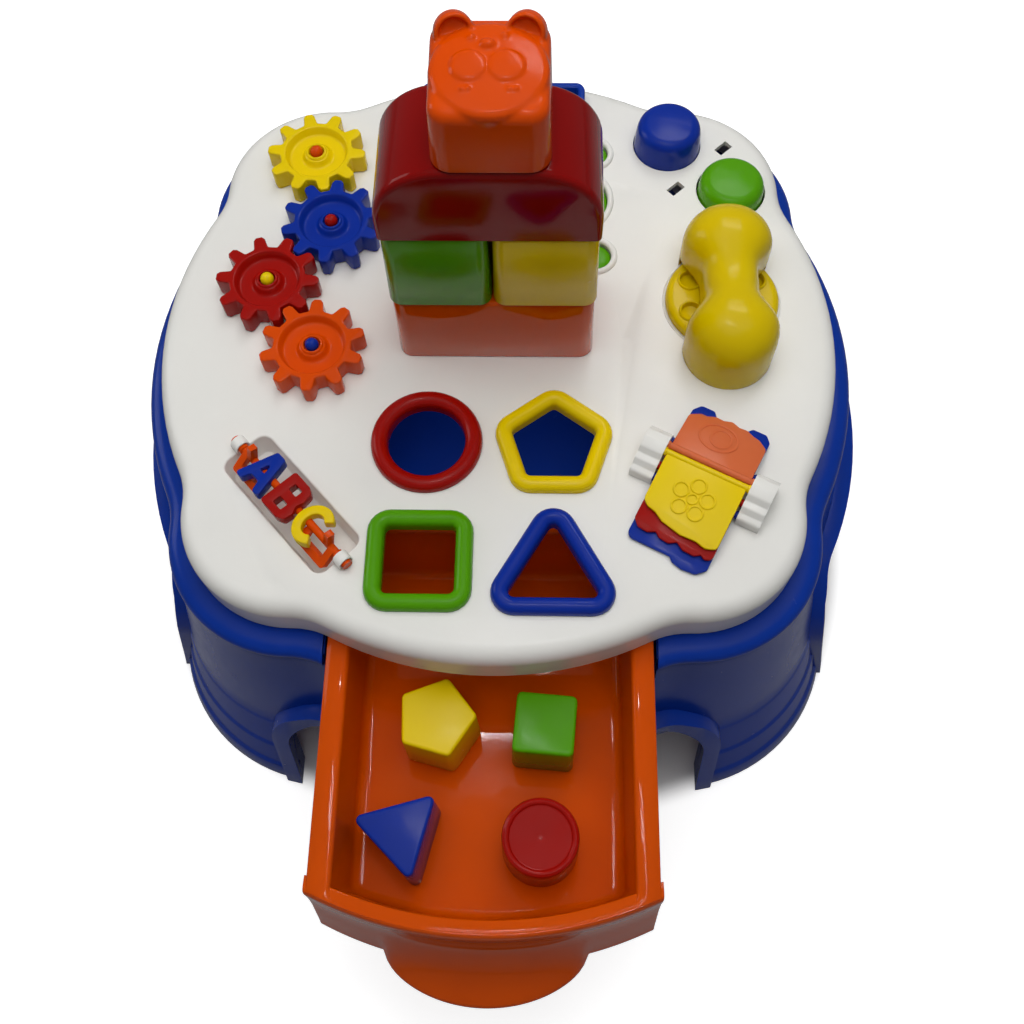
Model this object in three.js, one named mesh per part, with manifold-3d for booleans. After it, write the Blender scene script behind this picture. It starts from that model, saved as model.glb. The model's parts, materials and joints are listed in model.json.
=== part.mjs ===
// Toddlers' activity table: a lobed white top on a flared blue shell, with a drawer and play pieces.
// Millimetres, +Z up. Pieces are drawn with z = 0 on the upper face of the top; the last lines move
// the whole table so that its origin lies under the middle of it, on the floor.
import * as THREE from 'three';
import { mergeVertices } from 'three/addons/utils/BufferGeometryUtils.js';
import Module from 'manifold-3d';

const wasm = await Module();
wasm.setup();

// Driving dimensions of the carcass
const TABLE_H = 205;
const SEAT = 0.3;
const OVERRUN = 5;
const TOP_SIDE_R = 195;
const TOP_CORNER_INSET = 42;
const TOP_CORNER_AT = TOP_SIDE_R - TOP_CORNER_INSET;
const TOP_CORNER_R = 62;
const TOP_NOTCH_R = 45;
const FOOT_SIDE_R = 245;
const FOOT_CORNER_INSET = 85;
const FOOT_CORNER_AT = FOOT_SIDE_R - FOOT_CORNER_INSET;
const FOOT_CORNER_R = 107.4;
const FOOT_NOTCH_R = 60;
const TOP_WALL = 3;
const TOP_EDGE_R = 9.5;
const SKIRT_BOTTOM = -27.7;
const SHELL_WALL = 3;
const FOOT_RIM = 15;
const BEAD_AT = 7.75;
const BEAD_REACH = 8.5;
const BEAD_HALF_H = 11;
const BEAD_TURN_UNDER = 1.05;
const FLANGE_IN = 6;
const WALL_TOP = -50;
const WALL_TOP_share = 0.24;
const LEDGE_ZS = [-132, -165, -190];
const LEDGE_STEP_shares = [0.045, 0.09, 0.1];
const LEDGE_DROP = 1.5;
const ARCH_TOP = -107.5;
const ARCH_HALF_TOP = 127;
const ARCH_HALF_FLOOR = 133;
const ARCH_SHOULDER_R = 38;
const HOOD_BAND_TOP = 12;
const HOOD_BAND_SIDE = 10;
const HOOD_PROUD = 7;
const HOOD_RETURN = 16;
const ARCH_FROM = 130;
const ARCH_TO = 290;
const HAND_HOLE_TOP = -58;
const HAND_HOLE_BOTTOM = -93;
const HAND_HOLE_HALF = 70;

// Drawer, its mouth in the shell and the deck that it slides on
const DRAWER_TRAVEL = 110;
const DRAWER_BOTTOM = -88;
const DRAWER_TOP = SKIRT_BOTTOM - SEAT;
const DRAWER_BACK = -108;
const FLANGE_HALF = 87.5;
const PANEL_HALF = 89;
const MOUTH_HALF = 91;
const TRAY_HALF_TOP = 78;
const TRAY_HALF_BOTTOM = 76.5;
const TRAY_WALL = 3;
const TRAY_CORNER_R = 9;
const TRAY_FLOOR = -82;
const FLANGE_T = 3;
const PANEL_BULGE = 19.8;
const PANEL_FRONT_R = TOP_SIDE_R + PANEL_BULGE;
const PANEL_FOOT_OUT = 10.7;
const PANEL_CREST_IN = 5.4;
const PANEL_CREST_DROP = 1.6;
const PANEL_THICK = 6.8;
const POCKET_FRONT_SLOPE = 3.5;
const POCKET_FRONT_TOP_R = PANEL_FRONT_R - PANEL_THICK;
const POCKET_FRONT_FLOOR_R = POCKET_FRONT_TOP_R - POCKET_FRONT_SLOPE;
const LIP_HALF = 53.5;
const LIP_REACH = 20.9;
const LIP_H = 26;
const LIP_FORM_shares = [[0, 1, 1], [0.16, 1, 1], [0.32, 0.94, 0.62], [0.6, 0.85, 0.3], [1, 0.72, 0.1]];
const PANEL_FORM_shares = [[1, 0], [0.44, 0.38], [0.1, 0.62], [0, 0.76], [-0.1, 0.9]];
const RUNNER_W = 12;
const DECK_T = 3;
const DECK_HALF = 97;
const RAIL_W = 3;
const RAIL_TOP = -34;
const DECK_LEDGE = 8;
const DECK_FIT = 1.5;
const DECK_LEDGE_T = 3;
const STOP_H = 20;

// Shape sorter
const BEZEL_W = 9.6;
const BEZEL_H = 6;
const BEZEL_ROUND = 1.4;
const BEZEL_SHOULDER_share = 0.66;
const COLLAR_T = 1.6;
const ROUND_HOLE_R = 21.25;
const SQUARE_HOLE_HALF = 18.9;
const PENTAGON_HOLE_R = 24.4;
const TRIANGLE_HOLE_R = 29.2;
const HOLE_CORNER_R = 3;
const ROUND_AT = [-36.7, -70.7];
const PENTAGON_AT = [33.3, -71.7];
const SQUARE_AT = [-37.3, -140.7];
const TRIANGLE_AT = [33.3, -146.2];
const BLOCK_H = 41;
const BLOCK_DRAFT = 0.8;
const BLOCK_EDGE = 1.6;
const BLOCK_CORNER_R = 3;
const ROUND_BLOCK_R = 20;
const ROUND_DISH_R = 16.5;
const ROUND_DISH_DEPTH = 1;
const SQUARE_BLOCK_HALF = 16.3;
const PENTAGON_BLOCK_R = 22.4;
const TRIANGLE_BLOCK_R = 26.3;
const PENTAGON_BLOCK_AT = [-28.5, -214];
const SQUARE_BLOCK_AT = [30, -216.5];
const TRIANGLE_BLOCK_AT = [-44.4, -273];
const ROUND_BLOCK_AT = [28.2, -275];
const PENTAGON_BLOCK_TURN = 3;
const SQUARE_BLOCK_TURN = 40.5;
const TRIANGLE_BLOCK_TURN = 46;

// Gears
const GEAR_TEETH = 10;
const GEAR_TIP_R = 30;
const GEAR_ROOT_R = 22.3;
const GEAR_CENTRES = 53.5;
const GEAR_T = 13;
const GEAR_DISH_R = 19;
const GEAR_RIM_IN_R = 17.4;
const GEAR_DISH_DEPTH = 5;
const GEAR_HUB_R = 8.5;
const GEAR_HUB_TOP_R = 6.2;
const PIN_R = 4;
const PIN_SHAFT_R = 2.6;
const PIN_DOME_H = 3.2;
const PIN_BELOW = 12;
const PIN_BOSS_R = 6.5;
const GEAR_START = [-113, 121.6];
const GEAR_START_TURN = 32.6;
const GEAR_CHAIN_DEGREES = [-75.5, -129, -55.8];
const TOOTH_HALF_TIP_share = 0.1;
const TOOTH_HALF_MID_share = 0.19;
const TOOTH_HALF_ROOT_share = 0.3;
const TOOTH_MID_share = 0.78;

// Letter spinner
const WELL_AT = [-108, -108.5];
const WELL_TURN = -47.26;
const WELL_HALF_L = 42.25;
const WELL_HALF_W = 14.5;
const WELL_CORNER_R = 6;
const WELL_DEPTH = 14.5;
const WELL_WALL = 2;
const WELL_DRAFT = 1;
const SPINDLE_Z = 4;
const SPINDLE_R = 2.2;
const SPINDLE_JOURNAL_R = 3;
const SPINDLE_HALF_L = 50;
const LETTER_T = 7;
const LETTER_LIFT = 1.9;
const LETTER_THREE_MOUTH = 0.8;
const LETTER_THREE_BORE_share = 0.5;
const LETTER_ONE_shares = [
  [[-1, -1], [-0.45, -1], [-0.3, -0.5], [0.3, -0.5], [0.45, -1], [1, -1], [0.4, 1], [-0.4, 1]],
  [[-0.18, -0.1], [0.18, -0.1], [0, 0.45]],
];
const LETTER_TWO_shares = [
  [
    [-0.9, -1], [0.4, -1], [0.85, -0.8], [0.95, -0.4], [0.75, -0.05],
    [0.85, 0.35], [0.7, 0.8], [0.3, 1], [-0.9, 1],
  ],
  [[-0.3, -0.62], [0.3, -0.62], [0.3, -0.24], [-0.3, -0.24]],
  [[-0.3, 0.24], [0.25, 0.24], [0.25, 0.62], [-0.3, 0.62]],
];
const LETTER_HALF_H = 12.2;
const LETTER_HALF_W = 10;
const LETTER_PITCH = 21.4;
const CRANK_L = 24;
const CRANK_BAR = 4.4;
const CRANK_REACH = 12.6;
const CRANK_OUTER = 40;
const CRANK_DOWN = 38;
const ARM_REACH = 10.5;
const CLIP_L = 6;
const CLIP_R = 5.6;

// Telephone
const DIAL_AT = [130, 22.5];
const DIAL_R = 32.6;
const DIAL_T = 6;
const DIAL_EDGE = 2.4;
const DIAL_HOLES = 6;
const DIAL_HOLES_AT = 21.5;
const DIAL_FIRST_HOLE = 0.52;
const FINGER_R = 5.6;
const FINGER_RING = 1.5;
const FINGER_RING_H = 1.2;
const FINGER_DEPTH = 3;
const DIAL_PIVOT_R = 5;
const DIAL_PIVOT_SHAFT_R = 3;
const HANDSET_X = 131.5;
const HANDSET_Y0 = -36;
const HANDSET_Y1 = 72;
const HANDSET_H = 42;
const HANDSET_CUP_R = 25.5;
const HANDSET_WAIST_HALF = 15.5;
const HANDSET_WAIST_HALF_L = 7;
const HANDSET_SHOULDER_shares = [0.2, 0.4, 0.6, 0.8];
const HANDSET_WALL = 3;
const HANDSET_DIAL_FIT = 2.4;
const HANDSET_HOLLOW_share = 0.55;
const HANDSET_HOLLOW_TOP_share = 0.75;
const HANDSET_FORM_shares = [[0, 0], [0, 0.45], [0.1, 0.62], [0.32, 0.8], [0.62, 0.93], [0.92, 1]];

// See-saw buttons
const BLUE_BUTTON_AT = [102.5, 139];
const GREEN_BUTTON_AT = [140, 103.5];
const BUTTON_R = 20.6;
const BLUE_BUTTON_H = 19;
const BUTTON_TRAVEL = 8;
const BUTTON_EDGE = 6.5;
const BUTTON_WALL = 2.4;
const BUTTON_DRAFT = 1.5;
const BUTTON_CROWN = 0.8;
const BUTTON_FLANGE = 1.2;
const STEM_R = 3;
const ROCKER_Z = -24;
const ROCKER_T = 5;
const ROCKER_HALF_W = 7;
const ROCKER_PIN_R = 2.5;
const ROCKER_PIN_HALF_L = 13;
const HANGER_W = 4;
const SLOT_ATS = [[137.4, 136.3], [106.8, 104.8]];
const SLOT_HALF_L = 5;
const SLOT_HALF_W = 3;
const SLOT_TURN = 44;

// Flip book
const BOOK_AT = [114.4, -92.3];
const BOOK_TURN = -27;
const PAGE_HALF_W = 23;
const PAGE_T = 2.2;
const PAGE_L = 37;
const ROD_R = 1.7;
const ROD_HALF_L = 27.4;
const BRACKET_W = 13;
const BRACKET_GAP = 1.6;
const BRACKET_ZS = [9, 13.5, 18];
const BRACKET_YS = [-18, -9.6, -3.4, 13.6];
const BRACKET_EDGE = 1.5;
const ROD_YS = [-12.4, -6.8, 0, 4.2, 9.6];
const ROD_ZS = [4.2, 8.2, 13, 13, 8];
const PAGE_SLOPES = [0.07, 0.094, 0.132, 0.243, 0.206];
const MOTIF_H = 0.8;
const MOTIF_R = 8;
const MOTIF_LINE = 1.4;
const MOTIF_PETALS = 5;
const MOTIF_PETAL_R = 4.4;
const MOTIF_OVAL_R = 10;
const BLUE_PAGE_shares = [[-1, 1], [0.1, 1], [0.2, 1.06], [0.45, 1.1], [0.8, 1.08], [1, 0.96]];
const RED_PAGE_shares = [
  [-1, 0.88], [-0.85, 0.98], [-0.6, 1], [-0.42, 0.94], [-0.3, 1], [-0.05, 1.02], [0.12, 0.95],
  [0.3, 1.02], [0.6, 1.03], [0.72, 0.97], [0.85, 1.02], [1, 0.96],
];
const YELLOW_PAGE_shares = [
  [-1, 0.78], [-0.85, 0.86], [-0.62, 0.9], [-0.4, 0.98], [0.1, 1.05], [0.5, 1.04], [0.75, 1.08], [1, 1.02],
];
const ORANGE_PAGE_shares = [
  [-1, 0.66], [-0.75, 0.78], [-0.4, 0.86], [0, 0.89], [0.4, 0.86], [0.75, 0.8], [1, 0.7],
];
const BACK_PAGE_shares = [
  [-1, 0.7], [-0.85, 0.82], [-0.5, 0.82], [-0.35, 0.7], [0.35, 0.7], [0.5, 0.84], [0.85, 0.84], [1, 0.7],
];

// Stacking tower
const TOWER_Y = 11.8;
const TOWER_HALF_X = 55;
const TOWER_HALF_Y = 27.5;
const BASE_H = 51;
const MIDDLE_H = 55;
const ROOF_H = 47.5;
const ROOF_SHOULDER_R = 34;
const BEAR_HALF_X = 27.5;
const BEAR_X = 2.5;
const BEAR_H = 39;
const BEAR_EDGE = 6;
const BEAR_CORNER_R = 10;
const BEAR_EAR_R = 8.5;
const BEAR_EAR_T = 9;
const BEAR_EAR_RISE = 0.7;
const BEAR_EAR_AT = 15.3;
const BEAR_EAR_INSET = 9;
const BEAR_CHEEK_R = 6.2;
const BEAR_CHEEK_AT = [7.4, -2];
const BEAR_CHEEK_H = 1.2;
const BEAR_NOSE_R = 3.2;
const BEAR_NOSE_Y = 6;
const BLOCK_VERTICAL_R = 6;
const TOWER_DRAFT = 1;
const TOWER_EDGE = 2;
const BLOCK_WALL = 3;

// Green dishes and the frame at the back edge
const DISHES = [
  ['green_disc_back', [56, 131.5], 9.6],
  ['green_disc_middle', [42, 96], 23],
  ['green_disc_front', [57, 54.5], 9.6],
];
const DISH_RIM = 3.2;
const DISH_RIM_H = 2;
const DISH_FLANGE = 2;
const DISH_T = 2.5;
const DISH_SUNK = 1.5;
const FRAME_HALF = 51.5;
const FRAME_EDGE_GAP = 15.5;
const FRAME_W = 30;
const FRAME_Y1 = TOP_SIDE_R - FRAME_EDGE_GAP;
const FRAME_Y0 = FRAME_Y1 - FRAME_W;
const FRAME_H = 11;
const FRAME_BORDER = 4.5;
const FRAME_DRAFT = 0.6;
const FRAME_LIP = 1.5;
const FRAME_CORNER_R = 6;
const FRAME_DEPTH = 14;
const FRAME_FLOOR_T = 2.5;

// Colours of the mouldings, with their roughness
const WHITE = [0xf2f4f2, 0.35];
const BLUE = [0x0f3fa0, 0.3];
const DEEP_BLUE = [0x1237a0, 0.3];
const ORANGE = [0xe8540c, 0.3];
const BRIGHT_ORANGE = [0xf56a12, 0.3];
const RED = [0xb5121b, 0.3];
const DARK_RED = [0x8e0a12, 0.25];
const YELLOW = [0xf2d500, 0.3];
const PHONE_YELLOW = [0xe9c400, 0.25];
const GREEN = [0x3aa017, 0.3];
const CORAL = [0xf08a52, 0.25];

const QUARTER = Math.PI / 2;
const QUARTER_DEGREES = 90;
const FULL = Math.PI * 2;
const SIDES = [0, 1, 2, 3];
const VERY_FINE = 84;
const FINE = 28;
const MEDIUM = 18;
const COARSE = 10;

const table = new THREE.Group();

function radians(degrees) {
  return THREE.MathUtils.degToRad(degrees);
}

// Solids: a closed mesh with merged corners, turned so that its faces point out
function signedVolume(points, faces) {
  const a = new THREE.Vector3();
  const b = new THREE.Vector3();
  const c = new THREE.Vector3();
  let sum = 0;
  for (let f = 0; f < faces.length; f += 3) {
    a.fromArray(points, faces[f] * 3);
    b.fromArray(points, faces[f + 1] * 3);
    c.fromArray(points, faces[f + 2] * 3);
    sum += a.dot(b.cross(c));
  }
  return sum;
}

function solid(geometry) {
  geometry.deleteAttribute('normal');
  geometry.deleteAttribute('uv');
  const merged = mergeVertices(geometry);
  const points = merged.attributes.position.array;
  const index = merged.index.array;
  const faces = [];
  for (let f = 0; f < index.length; f += 3) {
    const [a, b, c] = [index[f], index[f + 1], index[f + 2]];
    if (a !== b && b !== c && c !== a) faces.push(a, b, c);
  }
  if (signedVolume(points, faces) < 0) faces.reverse();
  const mesh = new wasm.Mesh({
    numProp: 3,
    vertProperties: new Float32Array(points),
    triVerts: new Uint32Array(faces),
  });
  return new wasm.Manifold(mesh);
}

function moved(body, x, y, z = 0) {
  return body.translate([x, y, z]);
}

function turned(body, x, y, z) {
  return body.rotate([x, y, z]);
}

function joined(...bodies) {
  return bodies.reduce((sum, body) => sum.add(body));
}

// A body drawn along Z, turned to lie along X or Y with its drawn Y axis up
function alongX(body) {
  return turned(body, QUARTER_DEGREES, 0, QUARTER_DEGREES);
}

function alongY(body) {
  return turned(body, QUARTER_DEGREES, 0, 0);
}

function cut(body, ...tools) {
  return tools.reduce((rest, tool) => rest.subtract(tool), body);
}

// Lofts: rings of as many points each. A closed profile makes a ring body, an open one gets end caps.
function loft(rings, closed = false) {
  const count = rings[0].length;
  const points = rings.flat(2);
  const faces = [];
  const spans = closed ? rings.length : rings.length - 1;
  for (let r = 0; r < spans; r++) {
    const here = r * count;
    const next = ((r + 1) % rings.length) * count;
    for (let i = 0; i < count; i++) {
      const j = (i + 1) % count;
      faces.push(here + i, here + j, next + j, here + i, next + j, next + i);
    }
  }
  if (!closed) {
    for (const [r, flipped] of [[0, true], [rings.length - 1, false]]) {
      const flat = rings[r].map(([x, y]) => new THREE.Vector2(x, y));
      for (const [a, b, c] of THREE.ShapeUtils.triangulateShape(flat, [])) {
        const corners = [a, b, c].map((corner) => r * count + corner);
        faces.push(...(flipped ? corners.reverse() : corners));
      }
    }
  }
  const geometry = new THREE.BufferGeometry();
  geometry.setAttribute('position', new THREE.Float32BufferAttribute(points, 3));
  geometry.setIndex(faces);
  return solid(geometry);
}

function atHeight(outline, z) {
  return outline.map(([x, y]) => [x, y, z]);
}

// outlineAt gives the outline at an offset; the profile is a list of [offset, z]
function ringBody(outlineAt, profile) {
  return loft(profile.map(([offset, z]) => atHeight(outlineAt(offset), z)), true);
}

function stack(outlineAt, profile) {
  return loft(profile.map(([offset, z]) => atHeight(outlineAt(offset), z)));
}

function prism(outline, z0, z1) {
  return loft([atHeight(outline, z0), atHeight(outline, z1)]);
}

function revolve(profile, segments = MEDIUM) {
  const onAxis = profile[0][0] === 0 && profile[profile.length - 1][0] === 0;
  const closed = onAxis ? profile : [...profile, profile[0]];
  const points = closed.map(([r, z]) => new THREE.Vector2(r, z));
  const geometry = new THREE.LatheGeometry(points, segments);
  geometry.rotateX(QUARTER);
  return solid(geometry);
}

function box(x0, x1, y0, y1, z0, z1) {
  const geometry = new THREE.BoxGeometry(x1 - x0, y1 - y0, z1 - z0);
  geometry.translate((x0 + x1) / 2, (y0 + y1) / 2, (z0 + z1) / 2);
  return solid(geometry);
}

function rod(radius, z0, z1, segments = COARSE) {
  return revolve([[0, z0], [radius, z0], [radius, z1], [0, z1]], segments);
}

// Outlines
function arc(cx, cy, radius, from, to, steps, withLast = false) {
  const points = [];
  for (let i = 0; i < steps + (withLast ? 1 : 0); i++) {
    const angle = from + ((to - from) * i) / steps;
    points.push([cx + radius * Math.cos(angle), cy + radius * Math.sin(angle)]);
  }
  return points;
}

function circle(radius, segments = MEDIUM) {
  return arc(0, 0, radius, 0, FULL, segments);
}

// A convex polygon with rounded corners, whose arcs keep their centres when it is offset
function roundedPolygon(corners, radius, offset = 0, steps = 4) {
  const points = [];
  const count = corners.length;
  corners.forEach(([x, y], i) => {
    const before = corners[(i + count - 1) % count];
    const after = corners[(i + 1) % count];
    const come = Math.atan2(y - before[1], x - before[0]);
    let turn = Math.atan2(after[1] - y, after[0] - x) - come;
    if (turn < 0) turn += FULL;
    const inward = come + turn / 2 + QUARTER;
    const back = radius / Math.cos(turn / 2);
    const cx = x + back * Math.cos(inward);
    const cy = y + back * Math.sin(inward);
    const reach = radius + offset;
    points.push(...arc(cx, cy, reach, come - QUARTER, come - QUARTER + turn, steps, true));
  });
  return points;
}

function regular(sides, radius, turnDegrees = 0) {
  const start = radians(turnDegrees);
  return arc(0, 0, radius, start, start + FULL, sides);
}

function rectangle(halfX, halfY) {
  return [[-halfX, -halfY], [halfX, -halfY], [halfX, halfY], [-halfX, halfY]];
}

// The four-lobed outline of the carcass: share 0 is the white top, share 1 the feet
const SIDE_STEPS = 3;
const NOTCH_STEPS = 2;
const CORNER_STEPS = 3;

function lobed(share, offset) {
  const mix = (top, foot) => top + (foot - top) * share;
  const sideR = mix(TOP_SIDE_R, FOOT_SIDE_R);
  const cornerAt = mix(TOP_CORNER_AT, FOOT_CORNER_AT);
  const cornerR = mix(TOP_CORNER_R, FOOT_CORNER_R);
  const notchR = mix(TOP_NOTCH_R, FOOT_NOTCH_R);
  const toNotch = sideR + notchR;
  const apart = cornerR + notchR;
  const spread = Math.acos((cornerAt ** 2 + toNotch ** 2 - apart ** 2) / (2 * cornerAt * toNotch));
  const diagonal = QUARTER / 2;
  const notchAngle = diagonal - spread;
  const notch = [toNotch * Math.cos(notchAngle), toNotch * Math.sin(notchAngle)];
  const corner = [cornerAt * Math.cos(diagonal), cornerAt * Math.sin(diagonal)];
  const meet = Math.atan2(notch[1] - corner[1], notch[0] - corner[0]);
  const half = [
    ...arc(0, 0, sideR + offset, 0, notchAngle, SIDE_STEPS),
    ...arc(...notch, notchR - offset, notchAngle + Math.PI, meet + Math.PI, NOTCH_STEPS),
    ...arc(...corner, cornerR + offset, meet, diagonal, CORNER_STEPS),
  ];
  const tip = cornerAt + cornerR + offset;
  const mirrored = half.slice(1).reverse().map(([x, y]) => [y, x]);
  const quarter = [...half, [tip * Math.cos(diagonal), tip * Math.sin(diagonal)], ...mirrored];
  return SIDES.flatMap((side) => {
    const c = Math.round(Math.cos(side * QUARTER));
    const s = Math.round(Math.sin(side * QUARTER));
    return quarter.map(([x, y]) => [x * c - y * s, x * s + y * c]);
  });
}

function lobedRing([share, offset, z]) {
  return atHeight(lobed(share, offset), z);
}

// The flare of the wall without its ledges, as a share, at a height
const LEDGE_SUM_share = LEDGE_STEP_shares.reduce((sum, step) => sum + step);
const FLARE_share = 1 - WALL_TOP_share - LEDGE_SUM_share;

function wallShare(z) {
  const down = (WALL_TOP - z) / (WALL_TOP + TABLE_H);
  const stepped = LEDGE_ZS.reduce((sum, ledge, i) => sum + (z < ledge ? LEDGE_STEP_shares[i] : 0), 0);
  return WALL_TOP_share + FLARE_share * down + stepped;
}

function add(name, body, [colour, roughness], at = [0, 0], z = 0, turnDegrees = 0, tilt = 0, slope = 0) {
  const { vertProperties, triVerts, numProp } = body.getMesh();
  const geometry = new THREE.BufferGeometry();
  geometry.setAttribute('position', new THREE.BufferAttribute(new Float32Array(vertProperties), numProp));
  geometry.setIndex(new THREE.BufferAttribute(new Uint32Array(triVerts), 1));
  geometry.computeVertexNormals();
  const material = new THREE.MeshStandardMaterial({ color: colour, roughness, metalness: 0 });
  const mesh = new THREE.Mesh(geometry, material);
  mesh.name = name;
  mesh.position.set(at[0], at[1], z);
  mesh.rotation.order = 'ZYX';
  mesh.rotation.set(slope, tilt, radians(turnDegrees));
  table.add(mesh);
}

// Sorter holes: each has the outline of its opening at an offset
const ROUNDNESS = HOLE_CORNER_R;
const SORTER = {
  round: { at: ROUND_AT, outline: (o) => circle(ROUND_HOLE_R + o, FINE) },
  pentagon: {
    at: PENTAGON_AT,
    outline: (o) => roundedPolygon(regular(5, PENTAGON_HOLE_R, 90), ROUNDNESS, o, 3),
  },
  square: {
    at: SQUARE_AT,
    outline: (o) => roundedPolygon(rectangle(SQUARE_HOLE_HALF, SQUARE_HOLE_HALF), ROUNDNESS, o, 4),
  },
  triangle: {
    at: TRIANGLE_AT,
    outline: (o) => roundedPolygon(regular(3, TRIANGLE_HOLE_R, 90), ROUNDNESS, o, 5),
  },
};

function makeBezel({ outline }) {
  const mid = BEZEL_W / 2;
  const shoulder = BEZEL_H * BEZEL_SHOULDER_share;
  return ringBody(outline, [
    [0, -TOP_WALL],
    [COLLAR_T, -TOP_WALL],
    [COLLAR_T, SEAT],
    [BEZEL_W, SEAT],
    [BEZEL_W - BEZEL_ROUND, shoulder],
    [mid, BEZEL_H],
    [BEZEL_ROUND, shoulder],
  ]);
}

// Gear train: places and phases worked out down the chain
function gearChain() {
  const pitch = FULL / GEAR_TEETH;
  const gears = [{ at: GEAR_START, turn: radians(GEAR_START_TURN) }];
  for (const degrees of GEAR_CHAIN_DEGREES) {
    const from = gears[gears.length - 1];
    const along = radians(degrees);
    const at = [
      from.at[0] + GEAR_CENTRES * Math.cos(along),
      from.at[1] + GEAR_CENTRES * Math.sin(along),
    ];
    const turn = along + Math.PI - (from.turn - along) + pitch / 2;
    gears.push({ at, turn: turn % pitch });
  }
  return gears;
}

const GEARS = gearChain();

function gearOutline(offset) {
  const pitch = FULL / GEAR_TEETH;
  const points = [];
  const tip = GEAR_TIP_R + offset;
  const root = GEAR_ROOT_R + offset;
  const mid = root + (tip - root) * TOOTH_MID_share;
  for (let tooth = 0; tooth < GEAR_TEETH; tooth++) {
    const at = (share) => (tooth + share) * pitch;
    for (const [radius, share] of [
      [root, -TOOTH_HALF_ROOT_share],
      [mid, -TOOTH_HALF_MID_share],
      [tip, -TOOTH_HALF_TIP_share],
      [tip, TOOTH_HALF_TIP_share],
      [mid, TOOTH_HALF_MID_share],
      [root, TOOTH_HALF_ROOT_share],
    ]) {
      points.push([radius * Math.cos(at(share)), radius * Math.sin(at(share))]);
    }
  }
  return points;
}

function makeGear() {
  const blank = prism(gearOutline(0), 0, GEAR_T);
  const floor = GEAR_T - GEAR_DISH_DEPTH;
  const dish = revolve([
    [GEAR_HUB_R, floor],
    [GEAR_RIM_IN_R, floor],
    [GEAR_DISH_R, GEAR_T + OVERRUN],
    [GEAR_HUB_TOP_R, GEAR_T + OVERRUN],
  ], MEDIUM);
  return cut(blank, dish, rod(PIN_SHAFT_R + SEAT, -OVERRUN, GEAR_T + OVERRUN));
}

function makePin() {
  const head = GEAR_T + SEAT + SEAT;
  const dome = arc(0, 0, 1, 0, QUARTER, 3, true);
  return revolve([
    [0, -PIN_BELOW],
    [PIN_SHAFT_R, -PIN_BELOW],
    [PIN_SHAFT_R, head],
    ...dome.map(([r, h]) => [PIN_R * r, head + PIN_DOME_H * h]),
  ], COARSE);
}

// Top
function makeTop() {
  const edge = arc(0, 0, TOP_EDGE_R, 0, QUARTER, 3, true);
  const outside = edge.map(([out, up]) => [0, out - TOP_EDGE_R, up - TOP_EDGE_R]);
  const inside = arc(0, 0, TOP_EDGE_R - TOP_WALL, 0, QUARTER, 2, true);
  const shell = loft([
    ...outside.reverse(),
    [0, 0, SKIRT_BOTTOM],
    [0, -TOP_WALL, SKIRT_BOTTOM],
    ...inside.map(([out, up]) => [0, out - TOP_EDGE_R, up - TOP_EDGE_R]),
  ].map(lobedRing));
  const wellOutline = (o) => roundedPolygon(rectangle(WELL_HALF_L, WELL_HALF_W), WELL_CORNER_R, o, 3);
  const placeWell = (body) => moved(turned(body, 0, 0, WELL_TURN), ...WELL_AT);
  const wellCase = placeWell(stack(wellOutline, [
    [WELL_WALL, -WELL_DEPTH - WELL_WALL],
    [WELL_WALL, -TOP_WALL / 2],
  ]));
  const wellSpace = placeWell(stack(wellOutline, [[-WELL_DRAFT, -WELL_DEPTH], [0, OVERRUN]]));
  const bosses = GEARS.map(({ at }) => moved(rod(PIN_BOSS_R, -PIN_BELOW, -TOP_WALL / 2), ...at));
  const bores = GEARS.map(({ at }) => moved(rod(PIN_SHAFT_R + SEAT, -PIN_BELOW - OVERRUN, OVERRUN), ...at));
  const rims = DISHES.map(([, at, r]) => moved(ringBody((o) => circle(r + o, MEDIUM), [
    [0, -TOP_WALL / 2],
    [DISH_RIM, -TOP_WALL / 2],
    [DISH_RIM, DISH_RIM_H / 2],
    [DISH_RIM / 2, DISH_RIM_H],
    [0, DISH_RIM_H / 2],
  ]), ...at));
  const dishHoles = DISHES.map(([, at, r]) => moved(rod(r, -TOP_WALL - OVERRUN, OVERRUN, MEDIUM), ...at));
  const sorterHoles = Object.values(SORTER).map(({ at, outline }) => (
    moved(prism(outline(COLLAR_T + SEAT), -TOP_WALL - OVERRUN, OVERRUN), ...at)
  ));
  const slots = SLOT_ATS.map((at) => moved(turned(
    box(-SLOT_HALF_L, SLOT_HALF_L, -SLOT_HALF_W, SLOT_HALF_W, -TOP_WALL - OVERRUN, OVERRUN),
    0, 0, SLOT_TURN,
  ), ...at));
  const buttonHoles = [BLUE_BUTTON_AT, GREEN_BUTTON_AT].map((at) => (
    moved(rod(BUTTON_R + SEAT, -TOP_WALL - OVERRUN, OVERRUN, MEDIUM), ...at)
  ));
  const dialHole = moved(rod(DIAL_PIVOT_SHAFT_R + SEAT, -TOP_WALL - OVERRUN, OVERRUN), ...DIAL_AT);
  const frameHole = prism(frameOutline(SEAT - FRAME_LIP), -TOP_WALL - OVERRUN, OVERRUN);
  const whole = joined(shell, wellCase, ...bosses, ...rims, ...makeHangers());
  return cut(whole, wellSpace, ...bores, ...dishHoles, ...sorterHoles, ...slots, ...buttonHoles,
    dialHole, frameHole);
}

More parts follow.
